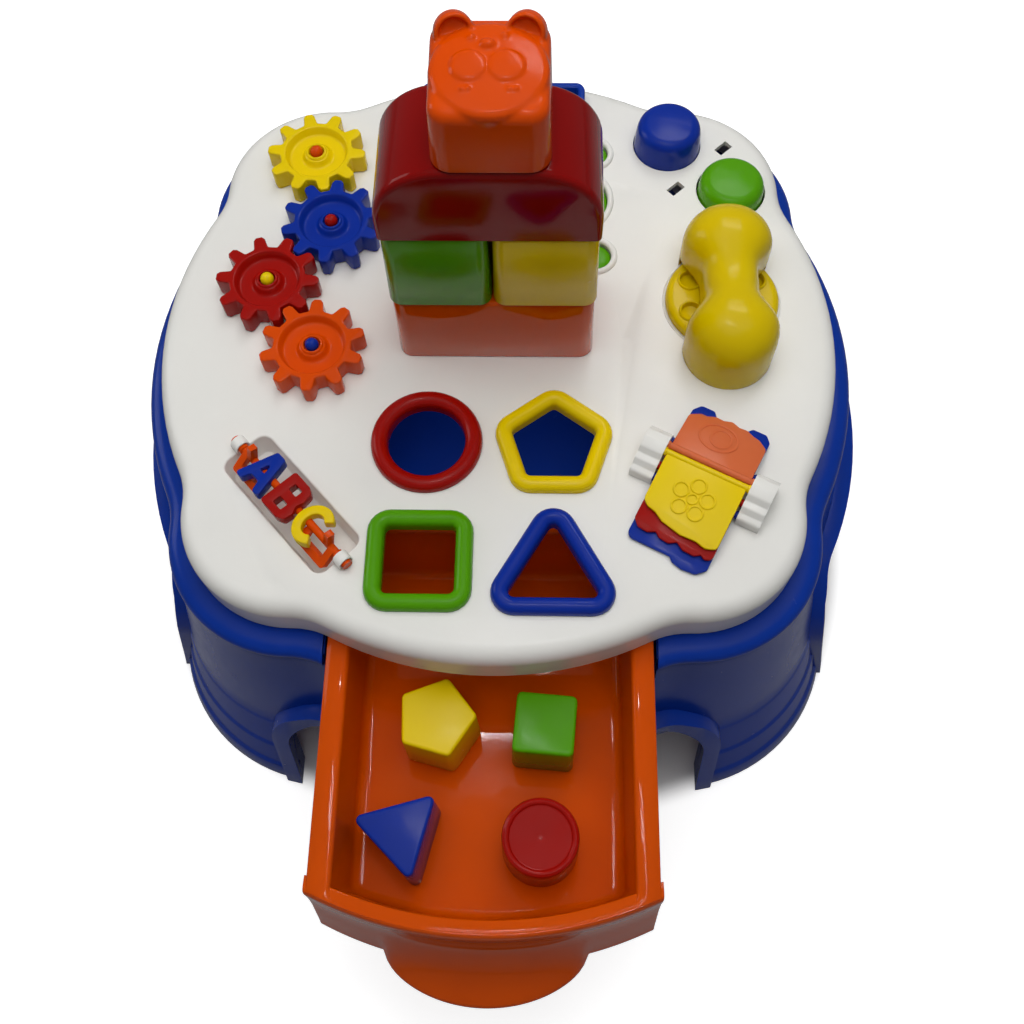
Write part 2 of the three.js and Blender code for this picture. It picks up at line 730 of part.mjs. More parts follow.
// The see-saw under the top: two hangers, a pin and a lever that turns about it
const ROCKER_AT = [
  (BLUE_BUTTON_AT[0] + GREEN_BUTTON_AT[0]) / 2,
  (BLUE_BUTTON_AT[1] + GREEN_BUTTON_AT[1]) / 2,
];
const ROCKER_TURN = THREE.MathUtils.radToDeg(Math.atan2(
  GREEN_BUTTON_AT[1] - BLUE_BUTTON_AT[1],
  GREEN_BUTTON_AT[0] - BLUE_BUTTON_AT[0],
));
const ROCKER_ARM = Math.hypot(
  GREEN_BUTTON_AT[0] - BLUE_BUTTON_AT[0],
  GREEN_BUTTON_AT[1] - BLUE_BUTTON_AT[1],
) / 2;
const ROCKER_TILT = Math.asin(BUTTON_TRAVEL / 2 / ROCKER_ARM);

function rockerBore() {
  const reach = ROCKER_PIN_HALF_L + OVERRUN;
  return alongY(rod(ROCKER_PIN_R + SEAT, -reach, reach));
}

function makeHangers() {
  return [-1, 1].map((side) => {
    const from = side * (ROCKER_HALF_W + SEAT * 2);
    const to = from + side * HANGER_W;
    const plate = cut(
      box(-HANGER_W, HANGER_W, Math.min(from, to), Math.max(from, to), ROCKER_Z - HANGER_W, -TOP_WALL / 2),
      moved(rockerBore(), 0, 0, ROCKER_Z),
    );
    return moved(turned(plate, 0, 0, ROCKER_TURN), ...ROCKER_AT);
  });
}

// Frame at the back edge
function frameOutline(offset) {
  const halfY = (FRAME_Y1 - FRAME_Y0) / 2;
  const outline = roundedPolygon(rectangle(FRAME_HALF, halfY), FRAME_CORNER_R, offset, 3);
  return outline.map(([x, y]) => [x, y + (FRAME_Y0 + FRAME_Y1) / 2]);
}

function makeBackFrame() {
  const outside = stack(frameOutline, [
    [-FRAME_LIP, -FRAME_DEPTH],
    [-FRAME_LIP, SEAT],
    [0, SEAT],
    [0, FRAME_H - FRAME_LIP],
    [-FRAME_LIP, FRAME_H],
  ]);
  const space = stack(frameOutline, [
    [-FRAME_BORDER - FRAME_DRAFT, FRAME_FLOOR_T - FRAME_DEPTH],
    [-FRAME_BORDER, FRAME_H + OVERRUN],
  ]);
  return cut(outside, space);
}

function makeDisc(r) {
  return revolve([
    [0, -TOP_WALL - SEAT - DISH_T],
    [r + DISH_FLANGE, -TOP_WALL - SEAT - DISH_T],
    [r + DISH_FLANGE, -TOP_WALL - SEAT],
    [r - SEAT, -TOP_WALL - SEAT],
    [r - SEAT, -DISH_SUNK],
    [0, -DISH_SUNK],
  ], MEDIUM);
}

// Shell with its rolled rim, three ledges, arches with raised borders, hand holes and drawer mouth
const SHELL_TOP = SKIRT_BOTTOM - SEAT;
const DECK_TOP = DRAWER_BOTTOM - SEAT;

function archCorners(grow) {
  const floor = -TABLE_H - ARCH_SHOULDER_R * 2;
  const top = ARCH_TOP + (grow ? HOOD_BAND_TOP : 0);
  const side = grow ? HOOD_BAND_SIDE : 0;
  return [
    [-ARCH_HALF_FLOOR - side, floor],
    [ARCH_HALF_FLOOR + side, floor],
    [ARCH_HALF_TOP + side, top],
    [-ARCH_HALF_TOP - side, top],
  ];
}

function archTools(grow, from, to) {
  const outline = roundedPolygon(archCorners(grow), ARCH_SHOULDER_R + (grow ? HOOD_BAND_SIDE : 0), 0, 4);
  const tool = alongX(prism(outline, from, to));
  return SIDES.map((side) => turned(tool, 0, 0, side * QUARTER_DEGREES));
}

function makeBase() {
  const beadZ = SHELL_TOP - BEAD_HALF_H;
  const bead = arc(0, 0, 1, QUARTER, -BEAD_TURN_UNDER, 4, true);
  const above = (z) => wallShare(z);
  const profile = [
    ...bead.map(([out, up]) => [0, BEAD_AT + BEAD_REACH * out, beadZ + BEAD_HALF_H * up]),
    [WALL_TOP_share, 0, WALL_TOP],
    ...LEDGE_ZS.flatMap((z, i) => [
      [above(z), 0, z],
      [above(z) + LEDGE_STEP_shares[i], 0, z - LEDGE_DROP],
    ]),
    [1, 0, -TABLE_H],
    [1, -FOOT_RIM, -TABLE_H],
    [WALL_TOP_share, -SHELL_WALL, WALL_TOP],
    [0, BEAD_AT + BEAD_REACH - SHELL_WALL, beadZ],
    [0, BEAD_AT, SHELL_TOP - SHELL_WALL],
    [0, -FLANGE_IN, SHELL_TOP - SHELL_WALL],
    [0, -FLANGE_IN, SHELL_TOP],
  ];
  const shell = loft(profile.map(lobedRing), true);
  const hoodTop = ARCH_TOP + HOOD_BAND_TOP + OVERRUN;
  const hoodShare = (z) => WALL_TOP_share + ((1 - WALL_TOP_share) * (WALL_TOP - z)) / (WALL_TOP + TABLE_H);
  const hoodShell = loft([
    [hoodShare(hoodTop), HOOD_PROUD, hoodTop],
    [1, HOOD_PROUD, -TABLE_H],
    [1, -HOOD_RETURN, -TABLE_H],
    [hoodShare(hoodTop), -HOOD_RETURN, hoodTop],
  ].map(lobedRing), true);
  const hoods = hoodShell.intersect(joined(...archTools(true, ARCH_FROM, ARCH_TO)));
  const shelfTop = DECK_TOP - DECK_T - SEAT;
  const shelfShare = wallShare(shelfTop);
  const shelf = loft([
    [shelfShare, -SHELL_WALL / 2, shelfTop],
    [shelfShare, -SHELL_WALL - DECK_LEDGE, shelfTop],
    [shelfShare, -SHELL_WALL - DECK_LEDGE, shelfTop - DECK_LEDGE_T],
    [shelfShare, -SHELL_WALL / 2, shelfTop - DECK_LEDGE_T],
  ].map(lobedRing), true);
  const deckWidth = box(-DECK_HALF, DECK_HALF, -FOOT_SIDE_R, FOOT_SIDE_R, -TABLE_H, 0);
  const mouth = box(-MOUTH_HALF, MOUTH_HALF, -FOOT_SIDE_R, -TOP_SIDE_R / 2, DECK_TOP, 0);
  const holeMid = (HAND_HOLE_TOP + HAND_HOLE_BOTTOM) / 2;
  const holeR = (HAND_HOLE_TOP - HAND_HOLE_BOTTOM) / 2;
  const holeOutline = roundedPolygon(rectangle(HAND_HOLE_HALF, holeR), holeR - SEAT, 0, 4);
  const handHole = moved(alongX(prism(holeOutline, ARCH_FROM, ARCH_TO)), 0, 0, holeMid);
  const body = joined(shell, hoods, shelf.intersect(deckWidth));
  return cut(body, ...archTools(false, ARCH_FROM - OVERRUN, ARCH_TO + OVERRUN), mouth, handHole,
    turned(handHole, 0, 0, QUARTER_DEGREES * 2));
}

function makeDeck() {
  const inside = loft([
    [WALL_TOP_share, -SHELL_WALL - DECK_FIT, DECK_TOP - DECK_T - OVERRUN],
    [WALL_TOP_share, -SHELL_WALL - DECK_FIT, SHELL_TOP],
  ].map(lobedRing));
  const plate = box(-DECK_HALF, DECK_HALF, -TOP_SIDE_R * 2, TOP_SIDE_R * 2, DECK_TOP - DECK_T, DECK_TOP);
  const railIn = PANEL_HALF + SEAT * 2;
  const stopY = DRAWER_BACK + DRAWER_TRAVEL + SEAT * 2;
  const rails = [-1, 1].map((side) => {
    const edges = [side * railIn, side * (railIn + RAIL_W)].sort((a, b) => a - b);
    return box(...edges, -TOP_SIDE_R * 2, stopY, DECK_TOP - DECK_T / 2, RAIL_TOP);
  });
  const stopHalf = railIn + RAIL_W;
  const stop = box(-stopHalf, stopHalf, stopY, stopY + RAIL_W, DECK_TOP - DECK_T / 2, DECK_TOP + STOP_H);
  return joined(plate, ...rails, stop).intersect(inside);
}

// Drawer: its front is concentric with the table when it is closed
function makeDrawer() {
  const centred = (body) => moved(body, 0, -DRAWER_TRAVEL);
  const crestZ = DRAWER_TOP - PANEL_CREST_DROP;
  const depth = crestZ - DRAWER_BOTTOM;
  const outer = PANEL_FORM_shares.map(([out, up]) => [
    PANEL_FRONT_R + PANEL_FOOT_OUT * out,
    DRAWER_BOTTOM + depth * up,
  ]);
  const front = centred(revolve([
    [0, DRAWER_BOTTOM],
    ...outer,
    [PANEL_FRONT_R - PANEL_CREST_IN, crestZ],
    [0, crestZ],
  ], VERY_FINE));
  const panelFrom = -DRAWER_TRAVEL - Math.sqrt(POCKET_FRONT_FLOOR_R ** 2 - PANEL_HALF ** 2);
  const reachY = -DRAWER_TRAVEL - PANEL_FRONT_R - PANEL_FOOT_OUT - OVERRUN;
  const panel = front.intersect(box(-PANEL_HALF, PANEL_HALF, reachY, panelFrom, DRAWER_BOTTOM, DRAWER_TOP));
  const backMiddle = (DRAWER_BACK + reachY) / 2;
  const halfLength = (DRAWER_BACK - reachY) / 2;
  const trayOutline = (inset, halfX) => roundedPolygon(
    rectangle(halfX - inset, halfLength - inset), TRAY_CORNER_R - inset, 0, 3,
  ).map(([x, y]) => [x, y + backMiddle]);
  const tray = loft([
    atHeight(trayOutline(0, TRAY_HALF_BOTTOM), DRAWER_BOTTOM),
    atHeight(trayOutline(0, TRAY_HALF_TOP), DRAWER_TOP),
  ]).intersect(front.add(box(-FLANGE_HALF, FLANGE_HALF, panelFrom, DRAWER_BACK, crestZ - SEAT, DRAWER_TOP)));
  const flangeFront = -DRAWER_TRAVEL - Math.sqrt((PANEL_FRONT_R - PANEL_CREST_IN) ** 2 - FLANGE_HALF ** 2);
  const flange =
    box(-FLANGE_HALF, FLANGE_HALF, flangeFront, DRAWER_BACK, DRAWER_TOP - FLANGE_T, DRAWER_TOP);
  const pocketFront = centred(revolve([
    [0, TRAY_FLOOR],
    [POCKET_FRONT_FLOOR_R, TRAY_FLOOR],
    [POCKET_FRONT_TOP_R, DRAWER_TOP + OVERRUN],
    [0, DRAWER_TOP + OVERRUN],
  ], VERY_FINE));
  const pocket = loft([
    atHeight(trayOutline(TRAY_WALL, TRAY_HALF_BOTTOM), TRAY_FLOOR),
    atHeight(trayOutline(TRAY_WALL, TRAY_HALF_TOP), DRAWER_TOP + OVERRUN),
  ]).intersect(pocketFront);
  const underFront = -DRAWER_TRAVEL - POCKET_FRONT_FLOOR_R + RUNNER_W * 2;
  const runnerIn = TRAY_HALF_BOTTOM - RUNNER_W;
  const underFrom = DRAWER_BOTTOM - OVERRUN;
  const under =
    box(-runnerIn, runnerIn, underFront, DRAWER_BACK + OVERRUN, underFrom, TRAY_FLOOR - TRAY_WALL);
  const lip = cut(makeLip(), centred(rod(PANEL_FRONT_R - TRAY_WALL, underFrom, DRAWER_TOP, FINE)));
  return cut(joined(panel, tray, flange, lip), pocket, under);
}

function makeLip() {
  const at = -DRAWER_TRAVEL - PANEL_FRONT_R - PANEL_FOOT_OUT;
  return loft(LIP_FORM_shares.map(([up, wide, out]) => (
    circle(1, FINE).map(([x, y]) => [
      x * LIP_HALF * wide,
      at + y * LIP_REACH * out,
      DRAWER_BOTTOM + LIP_H * up,
    ])
  )));
}

// Loose shape blocks
function blockOf(outlineAt) {
  return stack(outlineAt, [
    [BLOCK_DRAFT - BLOCK_EDGE / 2, 0],
    [BLOCK_DRAFT, BLOCK_EDGE / 2],
    [0, BLOCK_H - BLOCK_EDGE],
    [-BLOCK_EDGE, BLOCK_H],
  ]);
}

function polygonBlock(sides, radius) {
  return blockOf((o) => roundedPolygon(regular(sides, radius), BLOCK_CORNER_R, o, 2));
}

function roundBlock() {
  const dish = rod(ROUND_DISH_R, BLOCK_H - ROUND_DISH_DEPTH, BLOCK_H + OVERRUN, FINE);
  return cut(blockOf((o) => circle(ROUND_BLOCK_R + o, FINE)), dish);
}

// Letter spinner: drawn along X with the spindle's axis at the origin
function letterBody(outlines) {
  const [outer, ...holes] = outlines.map((outline) => (
    outline.map(([x, y]) => [x * LETTER_HALF_W, y * LETTER_HALF_H])
  ));
  const z0 = LETTER_LIFT - LETTER_T / 2;
  const body = prism(outer, z0, z0 + LETTER_T);
  const cuts = holes.map((hole) => prism(hole, z0 - OVERRUN, z0 + LETTER_T + OVERRUN));
  const bore = alongX(rod(SPINDLE_R + SEAT, -LETTER_HALF_W * 2, LETTER_HALF_W * 2, 12));
  return cut(body, ...cuts, bore);
}

function letterThreeOutline() {
  const outer = arc(0, 0, 1, LETTER_THREE_MOUTH, FULL - LETTER_THREE_MOUTH, 12, true);
  const inner = arc(0, 0, LETTER_THREE_BORE_share, FULL - LETTER_THREE_MOUTH, LETTER_THREE_MOUTH, 12, true);
  return [[...outer, ...inner]];
}

function makeSpindle() {
  const shaft = alongX(revolve([
    [0, -SPINDLE_HALF_L],
    [SPINDLE_JOURNAL_R, -SPINDLE_HALF_L],
    [SPINDLE_JOURNAL_R, -CRANK_OUTER],
    [SPINDLE_R, -CRANK_OUTER],
    [SPINDLE_R, CRANK_OUTER],
    [SPINDLE_JOURNAL_R, CRANK_OUTER],
    [SPINDLE_JOURNAL_R, SPINDLE_HALF_L],
    [0, SPINDLE_HALF_L],
  ], 12));
  const half = CRANK_BAR / 2;
  const inner = CRANK_OUTER - CRANK_L;
  const barIn = CRANK_OUTER - CRANK_BAR;
  const loops = [-1, 1].map((side) => {
    const spans = (from, to) => [side * from, side * to].sort((a, b) => a - b);
    const loop = cut(
      box(...spans(inner, CRANK_OUTER), -CRANK_REACH, 0, -half, half),
      box(...spans(inner + CRANK_BAR, barIn), CRANK_BAR - CRANK_REACH, OVERRUN, -OVERRUN, OVERRUN),
    );
    const arm = box(...spans(barIn - CRANK_BAR, barIn), 0, ARM_REACH, -half, half);
    return turned(joined(loop, turned(arm, CRANK_DOWN, 0, 0)), CRANK_DOWN, 0, 0);
  });
  const letterSpan = LETTER_PITCH + LETTER_HALF_W + SEAT * 2;
  const letters = box(-letterSpan, letterSpan, -CRANK_REACH * 2, CRANK_REACH * 2,
    LETTER_LIFT - LETTER_T / 2 - SEAT, CRANK_REACH * 2);
  return joined(cut(joined(...loops), letters), shaft);
}

function makeClip() {
  const cap = arc(0, 0, CLIP_R, 0, Math.PI, 8, true);
  const foot = SEAT - SPINDLE_Z;
  const outline = [...cap, [-CLIP_R, foot], [CLIP_R, foot]];
  const body = alongX(prism(outline, -CLIP_L / 2, CLIP_L / 2));
  const bore = SPINDLE_JOURNAL_R + SEAT;
  return cut(
    body,
    alongX(rod(bore, -CLIP_L, CLIP_L, 12)),
    box(-CLIP_L, CLIP_L, -bore, bore, -OVERRUN * 2, 0),
  );
}

// Telephone
function makeDial() {
  const disc = revolve([
    [0, 0],
    [DIAL_R, 0],
    [DIAL_R, DIAL_T - DIAL_EDGE],
    [DIAL_R - DIAL_EDGE, DIAL_T],
    [0, DIAL_T],
  ], FINE);
  const places = arc(0, 0, DIAL_HOLES_AT, DIAL_FIRST_HOLE, DIAL_FIRST_HOLE + FULL, DIAL_HOLES);
  const rings = places.map((at) => moved(ringBody((o) => circle(FINGER_R + o, COARSE), [
    [0, DIAL_T / 2],
    [FINGER_RING, DIAL_T / 2],
    [FINGER_RING, DIAL_T],
    [0, DIAL_T + FINGER_RING_H],
  ]), ...at));
  const pockets = places.map((at) => moved(rod(FINGER_R, DIAL_T - FINGER_DEPTH, DIAL_T + OVERRUN), ...at));
  const bore = rod(DIAL_PIVOT_SHAFT_R + SEAT, -OVERRUN, DIAL_T + OVERRUN);
  return cut(joined(disc, ...rings), ...pockets, bore);
}

function makeDialPivot() {
  const head = DIAL_T + SEAT * 2;
  return revolve([
    [0, -PIN_BELOW / 2],
    [DIAL_PIVOT_SHAFT_R, -PIN_BELOW / 2],
    [DIAL_PIVOT_SHAFT_R, head],
    [DIAL_PIVOT_R, head],
    [DIAL_PIVOT_R / 2, head + FINGER_RING_H],
    [0, head + FINGER_RING_H],
  ], COARSE);
}

// Plan of the handset: a straight waist that swells smoothly into two round cups
function handsetOutline(offset) {
  const at = (HANDSET_Y1 - HANDSET_Y0) / 2 - HANDSET_CUP_R;
  const gap = HANDSET_CUP_R - HANDSET_WAIST_HALF;
  const shoulder = HANDSET_SHOULDER_shares.map((t) => [
    HANDSET_WAIST_HALF + gap * t * t * (3 - 2 * t) + offset,
    HANDSET_WAIST_HALF_L + (at - HANDSET_WAIST_HALF_L) * t,
  ]);
  const quarter = [
    [HANDSET_WAIST_HALF + offset, 0],
    [HANDSET_WAIST_HALF + offset, HANDSET_WAIST_HALF_L],
    ...shoulder,
    ...arc(0, at, HANDSET_CUP_R + offset, 0, QUARTER, 6),
  ];
  const top = [[0, at + HANDSET_CUP_R + offset]];
  const left = quarter.slice(1).reverse().map(([x, y]) => [-x, y]);
  const upper = [...quarter, ...top, ...left];
  return [...upper, ...upper.map(([x, y]) => [-x, -y])];
}

function makeHandset() {
  const form = HANDSET_FORM_shares.map(([inset, up]) => [-HANDSET_WAIST_HALF * inset, HANDSET_H * up]);
  const body = stack(handsetOutline, form);
  const middle = (HANDSET_Y0 + HANDSET_Y1) / 2;
  const dialX = DIAL_AT[0] - HANDSET_X;
  const clear = DIAL_T + FINGER_RING_H + HANDSET_WALL;
  const dialSpace = moved(rod(DIAL_R + HANDSET_DIAL_FIT, -OVERRUN, clear, FINE), dialX, DIAL_AT[1] - middle);
  const at = (HANDSET_Y1 - HANDSET_Y0) / 2 - HANDSET_CUP_R;
  const hollowR = HANDSET_CUP_R - HANDSET_WALL;
  const hollow = revolve([
    [0, -OVERRUN],
    [hollowR, -OVERRUN],
    [hollowR, HANDSET_H * HANDSET_HOLLOW_share],
    [hollowR / 2, HANDSET_H * HANDSET_HOLLOW_TOP_share],
    [0, HANDSET_H * HANDSET_HOLLOW_TOP_share],
  ], FINE);
  return cut(body, dialSpace, moved(hollow, 0, at), moved(hollow, 0, -at));
}

// See-saw buttons: z = 0 is the top of the cap's flange seat when the cap is up
function makeButton() {
  const top = BLUE_BUTTON_H;
  const skirt = -TOP_WALL - SEAT;
  const domeAt = BUTTON_R - BUTTON_DRAFT - BUTTON_EDGE;
  const dome = arc(domeAt, top - BUTTON_EDGE, BUTTON_EDGE, 0, QUARTER, 3, true);
  const cap = revolve([
    [0, skirt - BUTTON_WALL],
    [BUTTON_R + BUTTON_FLANGE, skirt - BUTTON_WALL],
    [BUTTON_R + BUTTON_FLANGE, skirt],
    [BUTTON_R, skirt],
    [BUTTON_R - BUTTON_DRAFT, top - BUTTON_EDGE],
    ...dome.slice(1),
    [0, top + BUTTON_CROWN],
  ], MEDIUM);
  const hollow = revolve([
    [0, skirt - BUTTON_WALL - OVERRUN],
    [BUTTON_R - BUTTON_WALL, skirt - BUTTON_WALL - OVERRUN],
    [BUTTON_R - BUTTON_DRAFT - BUTTON_WALL, top - BUTTON_EDGE],
    [domeAt, top - BUTTON_WALL],
    [0, top - BUTTON_WALL],
  ], MEDIUM);
  const tip = ROCKER_Z + BUTTON_TRAVEL / 2 + (ROCKER_T / 2) / Math.cos(ROCKER_TILT) + SEAT;
  const ball = arc(0, tip + STEM_R, STEM_R, -QUARTER, 0, 3, true);
  const stem = revolve([...ball, [STEM_R, top - BUTTON_WALL / 2], [0, top - BUTTON_WALL / 2]], COARSE);
  return joined(cut(cap, hollow), stem);
}

function makeRocker() {
  const reach = ROCKER_ARM + ROCKER_T;
  const bar = stack((o) => roundedPolygon(rectangle(reach, ROCKER_HALF_W), ROCKER_T / 2, o, 2), [
    [0, -ROCKER_T / 2],
    [0, ROCKER_T / 2],
  ]);
  const hub = alongY(rod(ROCKER_T, -ROCKER_HALF_W, ROCKER_HALF_W));
  return cut(joined(bar, hub), rockerBore());
}

// Flip book: X along the hinge line, Y to the back, each page drawn from its rod towards -Y
function makePage(end, motif) {
  const outline = [
    [-PAGE_HALF_W, ROD_R / 2],
    ...end.map(([across, down]) => [PAGE_HALF_W * across, -PAGE_L * down]),
    [PAGE_HALF_W, ROD_R / 2],
  ];
  const leaf = prism(outline, -PAGE_T / 2, PAGE_T / 2);
  const pin = alongX(rod(ROD_R, -ROD_HALF_L, ROD_HALF_L, 10));
  return joined(leaf, pin, ...motif);
}

function flowerMotif(y) {
  const petals = arc(0, y, MOTIF_R, 0, FULL, MOTIF_PETALS).map(([px, py]) => (
    moved(revolve([
      [MOTIF_PETAL_R - MOTIF_LINE, PAGE_T / 4],
      [MOTIF_PETAL_R, PAGE_T / 4],
      [MOTIF_PETAL_R, PAGE_T / 2 + MOTIF_H],
      [MOTIF_PETAL_R - MOTIF_LINE, PAGE_T / 2 + MOTIF_H],
    ], 10), px, py)
  ));
  return petals;
}

function ovalMotif(y) {
  return [moved(revolve([
    [MOTIF_OVAL_R - MOTIF_LINE, PAGE_T / 4],
    [MOTIF_OVAL_R, PAGE_T / 4],
    [MOTIF_OVAL_R, PAGE_T / 2 + MOTIF_H],
    [MOTIF_OVAL_R - MOTIF_LINE, PAGE_T / 2 + MOTIF_H],
  ], MEDIUM), 0, y)];
}

function makeBracket() {
  const [low, middle, high] = BRACKET_ZS;
  const [y0, y1, y2, y3] = BRACKET_YS;
  const e = BRACKET_EDGE;
  const side = [
    [y0, 0], [y3, 0], [y3, high - e], [y3 - e, high], [y2 + e, high], [y2, high - e],
    [y2, middle], [y1 + e, middle], [y1, middle - e], [y1, low], [y0 + e, low], [y0, low - e],
  ];
  const body = alongX(prism(side, 0, BRACKET_W));
  const bores = ROD_YS.map((y, i) => moved(
    alongX(rod(ROD_R + SEAT, -OVERRUN, ROD_HALF_L - PAGE_HALF_W - BRACKET_GAP + SEAT, 10)),
    0, y, ROD_ZS[i] - SEAT,
  ));
  return cut(body, ...bores);
}

// Stacking tower
function hollowBlock(halfX, height) {
  const outlineAt = (o) => roundedPolygon(rectangle(halfX, TOWER_HALF_Y), BLOCK_VERTICAL_R, o, 3);
  const outer = stack(outlineAt, [
    [0, 0],
    [-TOWER_DRAFT, height - TOWER_EDGE],
    [-TOWER_DRAFT - TOWER_EDGE, height],
  ]);
  const inner = stack(outlineAt, [
    [-BLOCK_WALL, -OVERRUN],
    [-BLOCK_WALL - TOWER_DRAFT, height - BLOCK_WALL],
  ]);
  return cut(outer, inner);
}

function roofSection(inset, floor) {
  const corners = [
    [-TOWER_HALF_X, floor],
    [TOWER_HALF_X, floor],
    [TOWER_HALF_X, ROOF_H],
    [-TOWER_HALF_X, ROOF_H],
  ];
  return roundedPolygon(corners, ROOF_SHOULDER_R, -inset, 6);
}

function makeRoof() {
  const under = -ROOF_SHOULDER_R * 2;
  const form = (wall) => alongY(loft([
    atHeight(roofSection(wall + TOWER_EDGE, under), wall - TOWER_HALF_Y),
    atHeight(roofSection(wall, under), wall + TOWER_EDGE - TOWER_HALF_Y),
    atHeight(roofSection(wall, under), TOWER_HALF_Y - TOWER_EDGE - wall),
    atHeight(roofSection(wall + TOWER_EDGE, under), TOWER_HALF_Y - wall),
  ]));
  const above = box(-TOWER_HALF_X * 2, TOWER_HALF_X * 2, -TOWER_HALF_X, TOWER_HALF_X, 0, ROOF_H * 2);
  return cut(form(0).intersect(above), form(BLOCK_WALL));
}

function makeBear() {
  const outlineAt = (o) => roundedPolygon(rectangle(BEAR_HALF_X, TOWER_HALF_Y), BEAR_CORNER_R, o, 4);
  const outer = stack(outlineAt, [
    [0, 0],
    [-TOWER_DRAFT, BEAR_H - BEAR_EDGE],
    [-TOWER_DRAFT - BEAR_EDGE / 3, BEAR_H - BEAR_EDGE / 3],
    [-TOWER_DRAFT - BEAR_EDGE, BEAR_H],
  ]);
  const inner = stack(outlineAt, [
    [-BLOCK_WALL, -OVERRUN],
    [-BLOCK_WALL - TOWER_DRAFT, BEAR_H - BLOCK_WALL * 2],
  ]);
  const ears = [-1, 1].map((side) => moved(
    alongY(rod(BEAR_EAR_R, -BEAR_EAR_T / 2, BEAR_EAR_T / 2, MEDIUM)),
    side * BEAR_EAR_AT, TOWER_HALF_Y - BEAR_EAR_INSET, BEAR_H + BEAR_EAR_RISE,
  ));
  const cheek = revolve([
    [0, -BEAR_CHEEK_H],
    [BEAR_CHEEK_R, -BEAR_CHEEK_H],
    [BEAR_CHEEK_R - BEAR_CHEEK_H / 2, BEAR_CHEEK_H],
    [0, BEAR_CHEEK_H],
  ], COARSE);
  const cheeks = [-1, 1].map((side) => moved(cheek, side * BEAR_CHEEK_AT[0], BEAR_CHEEK_AT[1], BEAR_H));
  const tip = arc(0, 0, BEAR_NOSE_R, 0, QUARTER, 2, true);
  const bump = revolve([[0, -BEAR_CHEEK_H], [BEAR_NOSE_R, -BEAR_CHEEK_H], ...tip], COARSE);
  const nose = moved(bump, 0, BEAR_NOSE_Y, BEAR_H);
  return joined(cut(outer, inner), ...ears, ...cheeks, nose);
}

add('base_shell', makeBase(), BLUE);
add('drawer_deck', makeDeck(), BLUE);
add('table_top', makeTop(), WHITE);
add('back_frame', makeBackFrame(), BLUE);
for (const [name, at, r] of DISHES) add(name, makeDisc(r), GREEN, at);

add('round_bezel', makeBezel(SORTER.round), RED, ROUND_AT);
add('pentagon_bezel', makeBezel(SORTER.pentagon), YELLOW, PENTAGON_AT);
add('square_bezel', makeBezel(SORTER.square), GREEN, SQUARE_AT);
add('triangle_bezel', makeBezel(SORTER.triangle), DEEP_BLUE, TRIANGLE_AT);
add('drawer', makeDrawer(), ORANGE);
const BLOCK_Z = TRAY_FLOOR + SEAT;
const BLOCKS = [
  ['pentagon_block', 5, PENTAGON_BLOCK_R, YELLOW, PENTAGON_BLOCK_AT, PENTAGON_BLOCK_TURN],
  ['square_block', 4, SQUARE_BLOCK_HALF * Math.SQRT2, GREEN, SQUARE_BLOCK_AT, SQUARE_BLOCK_TURN],
  ['triangle_block', 3, TRIANGLE_BLOCK_R, DEEP_BLUE, TRIANGLE_BLOCK_AT, TRIANGLE_BLOCK_TURN],
];
for (const [name, sides, radius, finish, at, turn] of BLOCKS) {
  add(name, polygonBlock(sides, radius), finish, at, BLOCK_Z, turn);
}
add('round_block', roundBlock(), RED, ROUND_BLOCK_AT, BLOCK_Z);

const gear = makeGear();
const pin = makePin();
const GEAR_FINISHES = [
  ['yellow', YELLOW, BRIGHT_ORANGE],
  ['blue', DEEP_BLUE, RED],
  ['red', RED, YELLOW],
  ['orange', BRIGHT_ORANGE, DEEP_BLUE],
];
GEAR_FINISHES.forEach(([name, finish, pinFinish], i) => {
  add(`${name}_gear`, gear, finish, GEARS[i].at, SEAT, THREE.MathUtils.radToDeg(GEARS[i].turn));
  add(`${name}_gear_pin`, pin, pinFinish, GEARS[i].at);
});

const along = (distance) => [
  WELL_AT[0] + distance * Math.cos(radians(WELL_TURN)),
  WELL_AT[1] + distance * Math.sin(radians(WELL_TURN)),
];
add('spinner_spindle', makeSpindle(), BRIGHT_ORANGE, WELL_AT, SPINDLE_Z, WELL_TURN);
add('letter_one', letterBody(LETTER_ONE_shares), DEEP_BLUE, along(-LETTER_PITCH), SPINDLE_Z, WELL_TURN);
add('letter_two', letterBody(LETTER_TWO_shares), RED, WELL_AT, SPINDLE_Z, WELL_TURN);
add('letter_three', letterBody(letterThreeOutline()), YELLOW, along(LETTER_PITCH), SPINDLE_Z, WELL_TURN);
const CLIP_AT = WELL_HALF_L + CLIP_L / 2 + SEAT;
add('spinner_clip_back', makeClip(), WHITE, along(-CLIP_AT), SPINDLE_Z, WELL_TURN);
add('spinner_clip_front', makeClip(), WHITE, along(CLIP_AT), SPINDLE_Z, WELL_TURN);

add('phone_dial', makeDial(), PHONE_YELLOW, DIAL_AT, SEAT);
add('dial_pivot', makeDialPivot(), PHONE_YELLOW, DIAL_AT, 0);
add('handset', makeHandset(), PHONE_YELLOW, [HANDSET_X, (HANDSET_Y0 + HANDSET_Y1) / 2], SEAT);

add('blue_button', makeButton(), DEEP_BLUE, BLUE_BUTTON_AT, 0);
add('green_button', makeButton(), GREEN, GREEN_BUTTON_AT, -BUTTON_TRAVEL);
add('rocker_lever', makeRocker(), WHITE, ROCKER_AT, ROCKER_Z, ROCKER_TURN, ROCKER_TILT);
const rockerPin = alongY(rod(ROCKER_PIN_R, -ROCKER_PIN_HALF_L, ROCKER_PIN_HALF_L));
add('rocker_pin', rockerPin, WHITE, ROCKER_AT, ROCKER_Z, ROCKER_TURN);

